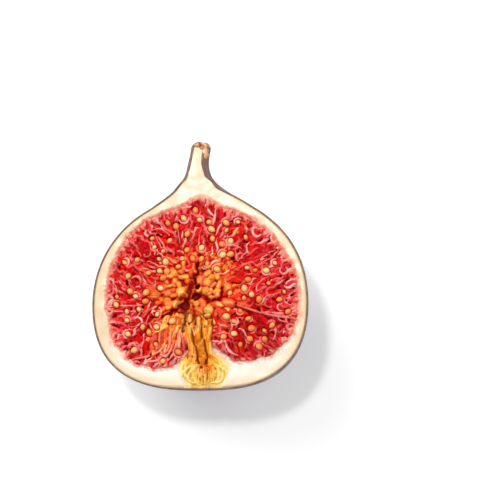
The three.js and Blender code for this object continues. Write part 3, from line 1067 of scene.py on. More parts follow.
def press_tips(sheet, random):
    for ring in TIP_RINGS:
        for spot, heading, own_reach in around_heart(ring, 2.5, random, 0.06):
            draws = [random() for _ in range(6)]
            if own_reach > 0.36 and draws[0] < 0.45:
                continue
            half = 0.75 + 0.8 * draws[1] * draws[1]
            length = 0.3 + 1.1 * draws[3]
            path = strand(spot, heading + draws[2] - 0.5, length, 0.6 * (draws[4] - 0.5), count=4)
            low = TIP_LOW + 0.5 * draws[4]
            rise = 0.3 + 0.6 * half
            tone = 0.3 + 0.6 * draws[3]
            ripe = 0.05 + 0.42 * own_reach + 0.26 * (draws[5] - 0.5)
            # The painted highlight on the tip's crown; its sides get painted shade.
            painted_highlight = 0.65 * draws[3]
            press(sheet, path, half, low, rise, tone, ripe, lip=0.4, painted_highlight=painted_highlight, blush_and_rim_shade=0.34, wavy=0.08)
    for spot, size, ripe in GREAT_TIPS:
        press_lump(sheet, spot, size, TIP_LOW, ripe)


def cut_cavity(sheet):
    sheet.cave = cavity(sheet.x, sheet.y)
    sheet.height = sheet.height * (1 - sheet.cave) + CAVITY_FLOOR * sheet.cave
    sheet.pale *= 1 - sheet.cave


print(len(TIP_RINGS), "rings of tips and", len(GREAT_TIPS), "great ones")

# %% [markdown]
# ## Threads, strands and curls
# Over the flowers lie their styles, thin pale threads. Most run with the flowers, and some curl
# back into hooks and loops. To the left of the column long salmon strands hang side by side and
# turn out along the rim. A few great curls lie beside the column and at the wall, and four straight
# threads show where the pulp was torn.

# %% Threads, strands and curls
FLANK = {"count": 14, "left": -12.2, "right": -5.0, "top": 17.8, "foot": 7.2}
GREAT_CURLS = (
    (0.42, 0.85, ((6.4, 13.8), (6.6, 10.4), (7.6, 9.4), (10.2, 8.6))),
    (0.42, 0.85, ((4.8, 14.4), (6.4, 13.4), (5.6, 11.6), (4.4, 11.8))),
    (0.30, 0.8, ((6.8, 18.8), (9.0, 17.4), (8.4, 15.2), (7.2, 14.4))),
    (0.42, 0.8, ((-14.0, 7.4), (-9.6, 7.4), (-7.3, 9.2), (-7.2, 12.0))),
    (0.38, 0.75, ((-11.8, 6.8), (-7.6, 7.0), (-6.0, 9.6), (-6.2, 13.2))),
    (0.38, 0.75, ((-17.0, 8.2), (-12.4, 8.6), (-9.6, 9.8), (-8.8, 12.6))),
    (0.26, 0.8, ((-13.3, 17.4), (-12.3, 16.2), (-12.4, 14.8), (-13.4, 13.4))),
    (0.32, 0.75, ((6.2, 38.4), (7.6, 37.0), (9.2, 37.8), (11.0, 36.0))),
    (0.28, 0.7, ((10.6, 43.4), (12.6, 42.2), (12.4, 40.6), (11.2, 39.6))),
    (0.30, 0.75, ((-12.6, 38.6), (-11.0, 37.6), (-12.0, 36.2), (-10.2, 34.8))),
    (0.32, 0.7, ((18.8, 12.6), (20.2, 15.0), (19.4, 17.2), (17.2, 17.8))),
    (0.17, 0.9, ((-25.4, 21.6), (-20.4, 22.0), (-17.0, 21.7), (-13.6, 22.4))),
    (0.15, 0.8, ((-24.6, 20.4), (-20.0, 20.6), (-17.0, 20.2), (-14.6, 20.4))),
    (0.34, 0.7, ((9.3, 21.8), (13.0, 20.6), (18.0, 18.6), (25.4, 18.0))),
    (0.26, 0.7, ((16.5, 20.0), (19.0, 19.6), (22.0, 19.4), (25.4, 19.2))),
)


def press_threads(sheet, random):
    for ring in np.linspace(1.0, 0.45, 7):
        for spot, heading, _ in around_heart(ring, 3.0, random, 0.09):
            draws = [random() for _ in range(7)]
            if draws[0] < 0.3:
                radius = 0.75 + 0.5 * draws[1]
                bend = math.radians(150 + 110 * draws[2])
                path = strand(spot, heading + 3 * draws[3], radius * bend, bend, count=14)
            else:
                turn = heading + 0.9 * (draws[3] - 0.5)
                length = 1.8 + 2.6 * draws[1]
                path = strand(spot, turn, length, 2.0 * (draws[2] - 0.5), 0.4 * draws[4], 12)
            half = (0.26 + 0.16 * draws[5]) * (0.3 + 0.7 * swell(len(path), 0))
            pale = (0.4 + 0.6 * draws[6] ** 2) * (1 - deep_red(spot))
            press(sheet, path, half, None, 0.25, 0.6, pale=pale)


def press_flank(sheet, random):
    for i in range(FLANK["count"]):
        draws = [random() for _ in range(7)]
        share = (i + 0.7 * draws[0]) / FLANK["count"]
        x = FLANK["left"] + share * (FLANK["right"] - FLANK["left"])
        top = FLANK["top"] - 1.0 * share - 2.6 * draws[1]
        foot = FLANK["foot"] + 1.2 * share + 2.2 * draws[2]
        mid = (top + foot) / 2
        corners = (x + 0.4, top), (x - 0.5, mid + 1.0), (x + 0.9, mid - 1.0), (x - 1.7, foot)
        path = bezier(*corners, count=22)
        half = (0.28 + 0.24 * draws[3]) * swell(len(path), 0.35)
        low = -0.6 + 0.4 * draws[4]
        ripe = 0.24 + 0.3 * draws[6]
        pale = 0.15 + 0.65 * draws[4]
        press(sheet, path, half, low, 0.62, draws[5], ripe, lip=draws[5], pale=pale, wavy=0.12)


def press_curls(sheet):
    for half, pale, corners in GREAT_CURLS:
        path = bezier(*corners, count=22)
        press(sheet, path, half * swell(len(path), 0.25), None, 0.34, 0.6, pale=pale, wavy=0.1)


print(FLANK["count"], "strands beside the column and", len(GREAT_CURLS), "great curls and threads")

# %% [markdown]
# ## Nests for the seeds
# A seed that simply lay on the jelly would look spilt. So each gets a hollow with a painted shadow
# at its lower left, and a pale lip that curls about part of it.

# %% Nests
NEST_WAY = 2.2
NEST_DEPTH = 0.18
LIP_POINTS = 12


def press_nests(sheet, random):
    for spot, size, level in SEEDS:
        draws = [random() for _ in range(3)]
        around = sheet.around(spot - NEST_WAY, spot + NEST_WAY)
        x, y = sheet.x[around], sheet.y[around]
        slip = 0.3 * (np.array(draws[1:]) - 0.5)
        nest = smooth(1.5, 1.0, np.hypot(x - spot[0] - slip[0], y - spot[1] - slip[1]) / (size / 2))
        # A painted shadow darkens the lower left of the nest.
        shaded = nest * smooth(-0.4, 0.5, (spot[1] - y + spot[0] - x) / size)
        floor = max(level - NEST_DEPTH, -0.6)
        sheet.height[around] = sheet.height[around] * (1 - nest) + floor * nest
        sheet.pale[around] *= 1 - nest
        sheet.tone[around] = sheet.tone[around] * (1 - nest) + 0.5 * nest - 1.0 * shaded
        wide = math.radians(50 + 130 * draws[1])
        angles = 2 * math.pi * draws[0] + np.linspace(-wide / 2, wide / 2, LIP_POINTS)
        path = spot + (size / 2 + 0.35) * np.stack([np.cos(angles), np.sin(angles)], axis=1)
        half = (0.3 + 0.12 * draws[2]) * swell(LIP_POINTS, 0.4)
        press(sheet, path, half, level - 0.25, 0.6, 0.6, pale=0.35 + 0.5 * draws[1])


print(len(SEEDS), "nests,", NEST_DEPTH, "mm deeper than their seeds")

# %% [markdown]
# ## The pressed sheet
# A thread lies on what is there already, so the order matters: flowers, tips and the cavity, then
# threads, strands and curls, and last the nests. Then the relief is softened a little, its creases
# are found for the painted shade, and its border and the place of the eye's column are sunk, so
# that the flesh and the scales cover them.

# %% Press the pulp
PULP_FLOOR = -1.3
PULP_MARGIN = 0.9
COLUMN_TOP = 19.9


def under_lumps(x, y):
    """1 where the lumps round the cavity hide the eye's column, 0 where it is bare."""
    return smooth(COLUMN_TOP - 0.8, COLUMN_TOP + 0.8, y + ripple(x, y, 3.6))


def pressed_pulp():
    random = random_from(7)
    sheet = Sheet(rim.min(axis=0) - 1, rim.max(axis=0) + 1, PULP_FLOOR)
    sheet.reach, sheet.rim_radius = reach_of(sheet.x, sheet.y)
    sheet.ripe = ripeness(sheet.x, sheet.y, sheet.reach)
    print(press_flowers(sheet, random), "flowers pressed")
    press_tips(sheet, random)
    cut_cavity(sheet)
    press_threads(sheet, random)
    press_flank(sheet, random)
    press_curls(sheet)
    press_nests(sheet, random)
    sheet.settle(30, 0.36)
    # How deep a place lies: the deepest get the painted shade of the cavity.
    sheet.cave = smooth(-1.5, -2.8, sheet.height)
    sheet.inward = (1 - sheet.reach) * sheet.rim_radius
    under_scales = smooth(-0.3, 1.2, in_column(sheet.x, sheet.y)) * (1 - under_lumps(sheet.x, sheet.y))
    sheet.height -= 1.4 * smooth(0.3, -PULP_MARGIN, sheet.inward) + 1.5 * under_scales
    return sheet


pulp_sheet = pressed_pulp()
heights = pulp_sheet.height
print(pulp_sheet.x.shape, "places, from", heights.min().round(2), "to", heights.max().round(2), "mm")

# %% [markdown]
# ## The pulp
# The pressed sheet becomes a mesh: a fine grid is trimmed a little outside the rim of the cup, its
# border is pulled down and in, ring by ring, to a bowl that lies inside the cup, and every place of
# the top is raised to the height of the sheet. Beyond the rim it dips under the flesh, so the line
# where red ends and cream starts is as uneven as on a cut fig.

# %% Pulp
PULP_BOWL = {"depth": 21.0, "rings": 9}
ROOT_GRAIN = {"around": 26, "inward": 0.35}


def pull_in(factor, drop, centre):
    bpy.ops.mesh.extrude_region_move(TRANSFORM_OT_translate={"value": (0, 0, -drop)})
    bpy.ops.transform.resize(value=(factor, factor, 1), center_override=(*centre, 0))


def cut_from(name, sheet, wanted, centre, depth, rings):
    """A closed mesh whose top is the part of the sheet where `wanted` is true."""
    counts = sheet.x.shape
    middle = ((sheet.x[0, 0] + sheet.x[-1, 0]) / 2, (sheet.y[0, 0] + sheet.y[0, -1]) / 2, 0)
    bpy.ops.mesh.primitive_grid_add(
        x_subdivisions=counts[0] - 1, y_subdivisions=counts[1] - 1, size=SHEET_STEP, location=middle
    )
    piece = bpy.context.object
    piece.name = name
    piece.scale = (counts[0] - 1, counts[1] - 1, 1)
    apply_place(piece)
    centres = np.zeros(len(piece.data.polygons) * 3)
    piece.data.polygons.foreach_get("center", centres)
    centres = centres.reshape(-1, 3)
    outside = sheet.at(wanted.astype(float), centres[:, 0], centres[:, 1]) < 0.5
    bpy.ops.object.mode_set(mode="EDIT")
    bpy.ops.mesh.select_mode(type="FACE")
    bpy.ops.mesh.select_all(action="DESELECT")
    bpy.ops.object.mode_set(mode="OBJECT")
    piece.data.polygons.foreach_set("select", outside)
    bpy.ops.object.mode_set(mode="EDIT")
    bpy.ops.mesh.delete(type="FACE")
    bpy.ops.mesh.select_all(action="SELECT")
    bpy.ops.mesh.region_to_loop()
    for ring in range(1, rings + 1):
        now, before = (math.pi / 2 * r / (rings + 1) for r in (ring, ring - 1))
        pull_in(math.cos(now) / math.cos(before), depth * (math.sin(now) - math.sin(before)), centre)
    bpy.ops.mesh.merge(type="CENTER")
    bpy.ops.mesh.select_all(action="SELECT")
    bpy.ops.mesh.normals_make_consistent(inside=False)
    bpy.ops.object.mode_set(mode="OBJECT")
    x, y, z = places_of(piece).T
    on_top = z > -1e-4
    move_to(piece, np.stack([x, y, np.where(on_top, sheet.at(sheet.height, x, y), z - 1.0)], axis=1))
    growth, hollow = (sheet.tone, sheet.ripe, sheet.pale), (sheet.crease_shade, sheet.cave, sheet.inward)
    for memory, kept in (("growth", growth), ("hollow", hollow)):
        store(piece, memory, np.stack([sheet.at(values, x, y) for values in kept], axis=1))
    return piece


def make_pulp():
    wanted = pulp_sheet.inward > -PULP_MARGIN
    piece = cut_from("pulp_cut", pulp_sheet, wanted, HEART, **PULP_BOWL)
    x, y, _ = places_of(piece).T
    turn = np.arctan2(y - HEART[1], x - HEART[0])
    inward = pulp_sheet.at(pulp_sheet.inward, x, y)
    ring_x, ring_y = ROOT_GRAIN["around"] * np.cos(turn), ROOT_GRAIN["around"] * np.sin(turn)
    store(piece, "roots", np.stack([ring_x, ring_y, ROOT_GRAIN["inward"] * inward], axis=1))
    seat(piece, "pulp", "pulp", pulp_finish)


make_pulp()

# %% [markdown]
# ## Seeds
# The golden seeds are hard and smooth, under two millimetres across, a little flattened, with a
# small beak on one side. One seed is modelled from a sphere and copied to every place drawn above,
# turned and tilted by chance.

# %% Seed finish
seed_finish = Finish(
    "golden_seeds",
    {
        "Roughness": 0.3,
        "Subsurface Weight": 0.15,
        "Subsurface Radius": (1.0, 0.6, 0.25),
        "Subsurface Scale": 0.0005,
        "Coat Weight": 0.25,
        "Coat Roughness": 0.1,
        "Specular IOR Level": 0.35,
    },
)
seed_tone, seed_beak_and_shade = (seed_finish.kept(name)["Fac"] for name in ("tone", "beak"))
seed_clouds = seed_finish.grain(1.0)
seed_gold = seed_finish.ramp(seed_tone, (0.0, 242, 132, 62), (0.3, 250, 176, 96), (1.0, 255, 216, 144))
seed_finish.bumped(seed_clouds, 0.15, 0.1)
seed_finish.paint(
    seed_gold,
    ((232, 128, 56), seed_clouds, 0.5, 0.72, 0, 0.5),  # ripe blotches
    # The beak, and painted shade on the seed below its top.
    ((222, 104, 40), seed_beak_and_shade, 0.2, 1, 0, 0.75),  # beak and foot
)

# %% Seeds
BOX_TOP = (CAD_BOX[1][2] - CUT_Z) / MM - 0.05
SEED = {"long": 1.08, "wide": 0.84, "uneven": 0.2, "flat": 0.86, "pitch": 0.7, "sunk": 0.1}
BEAK = {"long": 0.09, "slim": 0.35}


def copies(name, pattern, places):
    """One piece of many copies. A place is (matrix, tone). Each copy keeps its tone, and each of its
    points how much of a beak it is, which on a seed also holds painted shade. The pattern is only
    modelled to be copied, so it is taken out."""
    points, faces, tones = [], [], []
    core = places_of(pattern)
    beak = stored(pattern, "beak")
    for matrix, tone in places:
        start = len(core) * len(points)
        matrix = np.array(matrix)
        points.append(core @ matrix[:3, :3].T + matrix[:3, 3])
        faces += [[start + v for v in face.vertices] for face in pattern.data.polygons]
        tones.append(np.full(len(core), tone))
    points = np.vstack(points)
    points[:, 2] = np.minimum(points[:, 2], BOX_TOP)
    bpy.data.objects.remove(pattern)
    piece = drawn(name, points, faces)
    store(piece, "tone", np.concatenate(tones))
    store(piece, "beak", np.tile(beak, len(places)))
    return piece


def small_ball():
    """A ball one across, with its poles at both ends of the x axis, to be shaped and copied."""
    bpy.ops.mesh.primitive_uv_sphere_add(segments=12, ring_count=8, radius=0.5)
    ball = bpy.context.object
    ball.rotation_euler = (0, math.pi / 2, 0)
    apply_place(ball)
    return ball


def seed_pattern():
    pattern = small_ball()
    x, y, z = places_of(pattern).T
    beak = smooth(0.3, 0.5, x)
    pointed = np.stack([x + BEAK["long"] * beak, y * (1 - BEAK["slim"] * beak), z * SEED["flat"]], axis=1)
    move_to(pattern, pointed)
    # Below its top the seed gets painted shade, kept with the beak.
    store(pattern, "beak", np.maximum(beak, 0.8 * smooth(0.42, 0.05, z)))
    return pattern


def make_seeds():
    random = random_from(29)
    places = []
    for spot, size, level in SEEDS:
        draws = [random() for _ in range(4)]
        heading = Matrix.Rotation(2 * math.pi * draws[0], 4, "Z")
        pitch = Matrix.Rotation(-SEED["pitch"] * (draws[1] - 0.5), 4, "Y")
        wide = size * (SEED["wide"] + SEED["uneven"] * draws[2])
        middle = Matrix.Translation((*spot, level - SEED["sunk"]))
        place = middle @ (heading @ pitch) @ Matrix.Diagonal((size * SEED["long"], wide, size, 1))
        tone = draws[3] if level > SEED_LEVEL else 0.3 * draws[3]
        places.append((place, tone))
    seat(copies("seeds", seed_pattern(), places), None, "seeds", seed_finish)


make_seeds()

# %% [markdown]
# ## The eye's scales
# The eye is closed by scales that grow inwards from its edge. Cut through, they are a golden fan at
# the bottom: petals spread from a dark knot above the eye, and from the cavity a bundle of wavy
# strands comes down, narrows, and flares over the fan like a skirt. Next to the knot they are burnt
# orange, and their far ends are pale. They are pressed into a sheet of their own.

# %% Scales finish
scale_finish = Finish("golden_scales", WET | {"Subsurface Radius": (1.0, 0.6, 0.2), "Roughness": 0.34})
tone, ripe, pale = scale_finish.split(scale_finish.kept("growth")["Vector"])
crease_shade, cave, _ = scale_finish.split(scale_finish.kept("hollow")["Vector"])
scale_clouds = scale_finish.grain(0.7, detail=4.0)
shifted = scale_finish.uneven(ripe, scale_clouds, -0.16, 0.16)
gold = scale_finish.ramp(
    shifted,
    (0.0, 206, 92, 4),
    (0.2, 236, 130, 16),
    (0.45, 249, 176, 38),
    (0.7, 251, 208, 76),
    (1.0, 254, 232, 156),
)
burnt_and_shade = scale_finish.ramp(shifted, (0.0, 132, 44, 0), (0.4, 184, 84, 4), (1.0, 238, 184, 92))
scale_finish.bumped(scale_clouds, 0.3, 0.15)
scale_finish.paint(
    gold,
    ((255, 224, 146), tone, 0.5, 1.0, 0, 0.7),
    # Dark strands, and painted shade on the sides of the beads and lumps.
    (burnt_and_shade, tone, 0.5, 0.0, 0, 0.85),
    # Pale lips, and painted highlights on the crowns of the lumps.
    ((255, 216, 134), pale, 0, 1, 0, 0.8),
    # Painted shade in the creases and cracks.
    (burnt_and_shade, crease_shade, 0.1, 0.8),
    # Painted shade where the cavity cuts into the scales.
    ((110, 36, 4), cave, 0.1, 0.8),
)

# %% [markdown]
# ## Strands and petals
# All strands run down one bundle. `BUNDLE` gives its middle, its half width and its height where
# these change: from the cavity to the waist and the knot, and from the flare round the bell to the
# foot, where the outer strands curl on. The petals lie in layers, the smaller ones on top.

# %% Strands and petals
KNOT = np.array((0.8, 5.9))
SKIRT_STRANDS = 20
FAN_LAYERS = ((1.0, 20, -0.62), (0.72, 15, -0.5), (0.48, 10, -0.42))
STRAND_TOP = 21.8
BUNDLE = {
    "top": (-0.4, 5.0, STRAND_TOP - 1.0),
    "shoulder": (-0.5, 4.8, 16.5),
    "narrows": (-0.7, 2.8, 12.4),
    "waist": (-0.2, 2.9, 9.8),
    "flare": (0.1, 3.2, 8.4),
    "knot": (0.8, 0.9, 7.0),
    "bell": (1.0, 8.2, 7.6),
    "hem": (1.2, 7.4, 1.6),
    "foot": (0.6, 3.2, 1.2),
}
INNER_STRANDS = 0.28


def in_bundle(place, u, wider=0.0):
    """A point of the bundle at a named place, from its left side at u = -1 to its right at u = 1."""
    middle, half, height = BUNDLE[place]
    return middle + (half + wider) * u, height


def strand_path(u, draws):
    """A wavy path down the bundle. The inner strands end at the knot, the others round the bell."""
    x, y = in_bundle("top", u)
    top = (x, y - 2.0 * draws[1])
    waist = in_bundle("waist", u)
    bell, foot = (), in_bundle("knot", u)
    if abs(u) > INNER_STRANDS:
        bell = in_bundle("bell", u, draws[2]), in_bundle("hem", u, draws[0])
        x, y = in_bundle("foot", u)
        foot = (x + 0.8 * draws[7], y + 0.8 * draws[3])
    down = (top, in_bundle("shoulder", u), in_bundle("narrows", u), waist)
    path = line(down, (waist, in_bundle("flare", u), *bell, foot), end=foot)
    turns = np.linspace(0, 16 + 6 * draws[3], len(path)) + 6 * draws[4]
    wave = (0.15 + 0.2 * draws[2]) * np.sin(turns)
    path[:, 0] += wave * (0.5 + 0.5 * smooth(7.5, 10, path[:, 1]))
    return path[int(14 * draws[5]) : len(path) - int(16 * draws[6])]


def press_strands(sheet, random):
    """Two rows of strands, the upper one between those of the lower."""
    for row, low in ((0, -1.25), (1, -0.95)):
        for i in range(SKIRT_STRANDS - row):
            draws = [random() for _ in range(8)]
            u = 2 * (i + 0.5 * row + 0.6 * (draws[0] - 0.5)) / (SKIRT_STRANDS - 1) - 1
            path = strand_path(u, draws)
            share = np.linspace(0, 1, len(path))
            beads = 1 + 0.16 * np.sin(26 * share + 9 * draws[4])
            half = (0.27 + 0.16 * draws[2]) * (0.75 + 0.25 * np.sin(math.pi * share)) * beads
            depth = low + 0.3 * draws[3] - 0.9 * smooth(16.5, 20.5, path[:, 1])
            depth = depth + 0.12 * smooth(9, 7, path[:, 1])
            press(sheet, path, half, depth, 0.5, 0.2 + 0.8 * draws[4], lip=0.7 * draws[1])


def press_petals(sheet, random):
    """Petals that well up at the knot like a fountain, and curve out and down, layer on layer."""
    for layer, count, low in FAN_LAYERS:
        for i in range(count):
            draws = [random() for _ in range(6)]
            u = 2 * (i + 0.7 * draws[0]) / count - 1
            size = layer * (0.8 + 0.35 * draws[1])
            well = (0.5 * u, 0.3), (3.0 * size * u, 1.5 * abs(u))
            fall = (6.4 * size * u, 0.2 - 1.6 * draws[2]), (5.9 * size * u, size * (2.4 * abs(u) - 5.0))
            path = bezier(*(KNOT + corner for corner in (*well, *fall)), count=14)
            path = path[int(3 * draws[3]) :]
            middle = 0.24 + 0.14 * draws[4]
            half = np.interp(np.linspace(0, 1, len(path)), (0, 0.6, 1), (0.14, middle, 0.16))
            tone = 0.25 + 0.75 * draws[2]
            press(sheet, path, half, low + 0.3 * draws[5], 0.34, tone, lip=0.8 * draws[1])


print(2 * SKIRT_STRANDS - 1, "strands and", sum(count for _, count, _ in FAN_LAYERS), "petals")

# %% [markdown]
# ## Beads, lumps and cracks
# Over the strands lies a crooked row of orange beads, from the column down to the knot, and lumps
# crowd the column's top as they do round the cavity. Between the strands the column has split into
# long cracks, darkened with painted shade, and round the knot it is full of pits. Both are cut in
# once all is pressed.

# %% Beads, lumps and cracks
BEADS = {"top": 14.6, "end": 6.4, "pitch": 0.62}
KNOT_PITS = (
    ((0.3, 5.8), 0.7), ((1.7, 6.2), 0.55), ((-0.9, 7.6), 0.5), ((3.3, 6.4), 0.45),
    ((0.9, 9.3), 0.4), ((-2.1, 8.6), 0.4),
)
CRACKS = (
    ((-4.4, 16.5), (-4.0, 13.5), (-3.6, 11.5), (-3.1, 9.6), (-3.3, 8.0)),
    ((-2.4, 16.0), (-1.9, 13.6), (-1.7, 12.0), (-1.0, 10.9)),
    ((-1.2, 11.2), (-0.8, 9.4), (-0.5, 7.2)),
    ((1.0, 13.0), (1.3, 10.8), (1.9, 8.4), (1.7, 7.0)),
    ((0.4, 17.0), (0.2, 15.0), (0.5, 13.4)),
    ((3.4, 16.6), (3.0, 14.2), (2.5, 12.2)),
)
COLUMN_LUMPS = (
    ((-4.4, 16.8), (0.7, 1.7)), ((-2.7, 18.6), (0.8, 1.4)), ((-0.4, 17.6), (0.7, 1.5)),
    ((1.7, 19.3), (1.1, 0.9)), ((4.0, 17.8), (0.9, 1.3)), ((1.5, 17.2), (0.7, 0.9)),
    ((-2.4, 15.7), (0.6, 1.2)), ((0.4, 15.9), (0.7, 1.1)), ((2.6, 15.2), (0.7, 1.3)),
    ((-0.6, 14.0), (0.55, 1.1)),
)


def press_beads(sheet, random):
    for y in np.arange(BEADS["top"], BEADS["end"], -BEADS["pitch"]):
        draws = [random() for _ in range(3)]
        spot = (0.7 - 0.14 * (y - 6) + 1.1 * (draws[0] - 0.5), y)
        half = 0.38 + 0.2 * draws[1]
        path = strand(spot, -math.pi / 2, 0.3 + 0.4 * draws[2], count=3)
        # Beads with a little painted shade on their sides.
        press(sheet, path, half, -0.42, 0.3 + half, 0.45, 0.06 + 0.16 * draws[0], lip=0.3, blush_and_rim_shade=0.1)


def score(sheet, path, half, depth):
    """Cuts a groove along a path, widest in its middle."""
    path = np.array(path)
    part = sheet.around(path.min(axis=0) - half, path.max(axis=0) + half)
    gap, along, _ = off_path(sheet.x[part], sheet.y[part], path)
    wide = half * (0.3 + 0.7 * np.sin(math.pi * along / (len(path) - 1)))
    sheet.height[part] -= depth * smooth(wide, 0.2 * wide, gap)


print(len(COLUMN_LUMPS), "lumps,", len(CRACKS), "cracks and", len(KNOT_PITS), "pits")

# %% [markdown]
# ## The scales' sheet
# The sheet is burnt orange at the knot and pales away from it. Everything is pressed into it, and
# the piece is cut from it as the pulp was, with its border and its top end sunk in the pulp.

# %% Press the scales
SCALES_CORNERS = ((-9.0, 0.2), (10.0, STRAND_TOP + 1.2))
SCALES_FLOOR = -1.6
SCALES_MARGIN = 1.0
SCALES_FOOT = 0.6
SCALES_BOWL = {"centre": (0.0, 9.0), "depth": 2.0, "rings": 3}


def pressed_scales():
    random = random_from(41)
    sheet = Sheet(*SCALES_CORNERS, SCALES_FLOOR)
    from_knot = np.hypot(sheet.x - KNOT[0], sheet.y - KNOT[1])
    flared = smooth(0.3, 5.6, from_knot) * smooth(9.5, 6.5, sheet.y)
    sheet.ripe = np.maximum(0.02 + 0.98 * flared, 0.28 * smooth(6.2, 9.5, sheet.y))
    sheet.ripe = sheet.ripe * (1 - 0.6 * smooth(14, 19, sheet.y))
    sheet.height += 0.85 * smooth(9.0, 7.0, sheet.y)
    press_strands(sheet, random)
    press_petals(sheet, random)
    press_beads(sheet, random)
    for spot, size in COLUMN_LUMPS:
        press_lump(sheet, spot, size, -0.85 - 0.3 * min(size))
    for crack in CRACKS:
        score(sheet, evenly(crack, 16), 0.42, 1.0)
    for centre, wide in KNOT_PITS:
        sheet.height -= 0.6 * pit(sheet.x, sheet.y, centre, wide, 0.2, 1.2)
    sheet.settle(40, 0.42)
    sheet.cave = cavity(sheet.x, sheet.y)
    inside = in_column(sheet.x, sheet.y)
    sunk = 1.2 * smooth(0.6, -SCALES_MARGIN, inside) + 2.0 * under_lumps(sheet.x, sheet.y)
    sheet.height -= sunk + 2 * sheet.cave
    sheet.inward = np.maximum(inside, 0)
    return sheet


def make_scales():
    sheet = pressed_scales()
    wanted = (in_column(sheet.x, sheet.y) > -SCALES_MARGIN) & (sheet.y > SCALES_FOOT)
    wanted &= sheet.y < STRAND_TOP
    piece = cut_from("eye_scales_cut", sheet, wanted, **SCALES_BOWL)
    seat(piece, "eye_scales", "scales", scale_finish)


make_scales()

# %% [markdown]
# ## The plug behind the scales
# The scales don't end at the cut: they fill a bell behind it. Half a bell is spun like the skin and
# set a little back, so that the pressed face lies in front of it.

# %% Plug
PLUG = {"behind": 1.9, "inset": 0.15, "flat": 0.75, "points": 40, "layers": 9}
PLUG_TONE = 0.25
PLUG_RIPE = 0.3


def make_plug():
    line_in = inset(evenly(bell_line, PLUG["points"]), PLUG["inset"])
    line_in[:, 0] = np.maximum(line_in[:, 0], 0.3)
    axis = np.stack([np.full(len(line_in), 0.0), line_in[:, 1]], axis=1)
    shares = np.linspace(0, 1, PLUG["layers"])
    piece = turned("eye_plug", [line_in * (1 - s) + axis * s for s in shares], shares, steps=40)
    radius, height, turn = polar(places_of(piece))
    x, z = radius * np.cos(turn), PLUG["flat"] * radius * np.sin(turn) - PLUG["behind"]
    move_to(piece, np.stack([x, height, z], axis=1))
    store(piece, "growth", np.tile((PLUG_TONE, PLUG_RIPE, 0.0), (len(x), 1)))
    store(piece, "hollow", np.zeros((len(x), 3)))
    seat(piece, "eye_scales", "scales", scale_finish)


make_plug()

# %% [markdown]
# ## Bracts round the eye
# On the outside the eye is a small gate, ringed by small brown scales, the bracts, that overlap and
# point to its middle. One is modelled from a sphere, squashed and drawn to a point, and copied into
# two half rings.

# %% Bracts
bract_finish = Finish("brown_bracts", {"Roughness": 0.5})
bract_brown = bract_finish.ramp(bract_finish.grain(1.2), (0.3, 104, 62, 62), (0.7, 164, 108, 84))
bract_finish.paint(bract_brown, ((206, 150, 96), bract_finish.kept("beak")["Fac"], 0, 1))
BRACT_RINGS = ((1.95, 8, 1.5), (1.15, 6, 1.3))
BRACT = {"wide": 1.15, "thick": 0.5, "lean": 0.3, "height": 0.32, "uneven": 0.2}


def bract_pattern():
    pattern = small_ball()
    x, y, z = places_of(pattern).T
    point = smooth(-0.1, 0.5, x)
    move_to(pattern, np.stack([x, y * (1 - 0.55 * point), z], axis=1))
    store(pattern, "beak", smooth(0.2, 0.5, x))
    return pattern


def make_bracts():
    random = random_from(61)
    places = []
    for radius, count, length in BRACT_RINGS:
        for i in range(count):
            turn = -math.pi * (i + 0.5 + BRACT["uneven"] * (random() - 0.5)) / count
            inward = Vector((-math.cos(turn), BRACT["lean"], -math.sin(turn))).normalized()
            across = Vector((math.sin(turn), 0, -math.cos(turn)))
            upright = inward.cross(across)
            axes = Matrix((inward * length, across * BRACT["wide"], upright * BRACT["thick"])).transposed()
            spot = (radius * math.cos(turn), BRACT["height"], radius * math.sin(turn))
            middle = Matrix.Translation(spot)
            places.append((middle @ axes.to_4x4(), random()))
    seat(copies("eye_bracts", bract_pattern(), places), "eye_scales", "scales", bract_finish)


make_bracts()

# %% [markdown]
# ## The dry tip of the stalk
# Where the fig was picked the stalk has dried to a rough brown scar with a few beads of dried sap.
# Small spheres are squashed, joined by a remesh and roughened with a cloud displacement, so that
# they read as one crumb.

# %% Stalk tip
scar_finish = Finish("dry_stalk_tip", {"Roughness": 0.6})
scar_clouds = scar_finish.grain(0.9, detail=5.0)
scar_finish.bumped(scar_clouds, 0.6, 0.3)
scar_finish.paint(
    scar_finish.ramp(scar_clouds, (0.35, 140, 78, 48), (0.48, 214, 148, 98), (0.65, 248, 210, 168))
)
SCAR_BEADS = (
    ((0.1, 63.6, -1.9), (2.2, 0.9, 1.9)),
    ((-0.7, 63.8, -0.5), (1.3, 0.7, 0.8)),
    ((0.4, 63.9, -0.5), (1.2, 0.7, 0.9)),
    ((0.8, 63.2, -0.4), (1.1, 1.0, 0.7)),
    ((1.1, 62.2, -0.5), (0.95, 1.0, 0.75)),
    ((1.2, 61.0, -0.8), (0.8, 0.9, 0.65)),
    ((-1.4, 63.4, -0.9), (0.7, 0.8, 0.8)),
)
CRUMB = {"voxel": 0.16, "cloud": 0.7, "rough": 0.5}


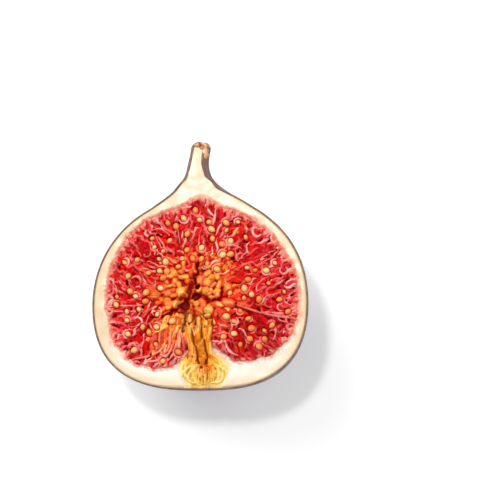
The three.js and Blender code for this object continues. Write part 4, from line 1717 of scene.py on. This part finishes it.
def make_scar():
    beads = []
    for place, size in SCAR_BEADS:
        bpy.ops.mesh.primitive_ico_sphere_add(subdivisions=3, radius=1, location=place)
        bead = bpy.context.object
        bead.scale = size
        apply_place(bead)
        beads.append(bead)
    for bead in beads:
        bead.select_set(True)
    bpy.ops.object.join()
    piece = bpy.context.object
    piece.name = "stalk_scar"
    remesh = piece.modifiers.new("one_crumb", "REMESH")
    remesh.voxel_size = CRUMB["voxel"]
    bpy.ops.object.modifier_apply(modifier="one_crumb")
    rough = bpy.data.textures.new("crumbs", "CLOUDS")
    rough.noise_scale = CRUMB["cloud"]
    displace = piece.modifiers.new("rough", "DISPLACE")
    displace.texture = rough
    displace.strength = CRUMB["rough"]
    bpy.ops.object.modifier_apply(modifier="rough")
    x, y, z = places_of(piece).T
    move_to(piece, np.stack([x, np.minimum(y, LENGTH - 0.05), z], axis=1))
    seat(piece, None, "stalk_tip", scar_finish)


make_scar()

# %% [markdown]
# ## Floor, light and camera
# A plain white table under a large soft light shows the colours as they are. A fill light opens the
# shadows, and a small one gives the wet jelly its sparks. The camera looks down on the cut face, a
# little from the right and from the eye's side, so that a sliver of skin shows there.

# %% Stage
FRAME_WIDTH = 128.8
LENS = 135.0
SENSOR = 36.0
AIM = (12.88, 35.97)
LOOK = {"right": 6.0, "below": 8.0}
WHITE = (1, 1, 1, 1)
TABLE = {
    "Base Color": (0.92, 0.92, 0.92, 1),
    "Roughness": 0.6,
    "Emission Color": WHITE,
    "Emission Strength": 0.26,
}
LIGHTS = (
    ("big_soft", (-0.34, 0.4, 0.48), 0.5, 3.0),
    ("fill", (0.45, 0.1, 0.5), 0.5, 1.0),
    ("spark", (-0.05, 0.12, 0.6), 0.06, 1.1),
)
ROOM_LIGHT = 0.34


def facing(away):
    """A rotation that looks against `away`, with +Y upwards in the view."""
    back = Vector(away).normalized()
    right = Vector((0, 1, 0)).cross(back).normalized()
    return Matrix((right, back.cross(right), back)).transposed().to_euler()


def make_floor():
    bpy.ops.mesh.primitive_plane_add(size=3)
    floor = bpy.context.object
    floor.name = "table"
    floor.data.materials.append(Finish("white_table", TABLE).material)


def add_light(name, place, size, power):
    data = bpy.data.lights.new(name, "AREA")
    data.energy = power
    data.size = size
    light = bpy.data.objects.new(name, data)
    bpy.context.collection.objects.link(light)
    light.location = place
    light.rotation_euler = facing(place)


def make_camera():
    data = bpy.data.cameras.new("camera")
    data.lens = LENS
    data.sensor_width = SENSOR
    camera = bpy.data.objects.new("camera", data)
    bpy.context.collection.objects.link(camera)
    away = Vector((math.tan(math.radians(LOOK["right"])), -math.tan(math.radians(LOOK["below"])), 1))
    aim = FIG_TO_FRAME @ Vector((*AIM, 0))
    camera.location = aim + away.normalized() * LENS / SENSOR * FRAME_WIDTH * MM
    camera.rotation_euler = facing(away)
    bpy.context.scene.camera = camera
    print("camera", [round(c, 4) for c in camera.location])


def make_room():
    world = bpy.data.worlds.new("pale_room")
    world.use_nodes = True
    background = world.node_tree.nodes["Background"]
    background.inputs["Color"].default_value = WHITE
    background.inputs["Strength"].default_value = ROOM_LIGHT
    bpy.context.scene.world = world


make_floor()
for light in LIGHTS:
    add_light(*light)
make_camera()
make_room()
bpy.context.scene.view_settings.view_transform = "Standard"
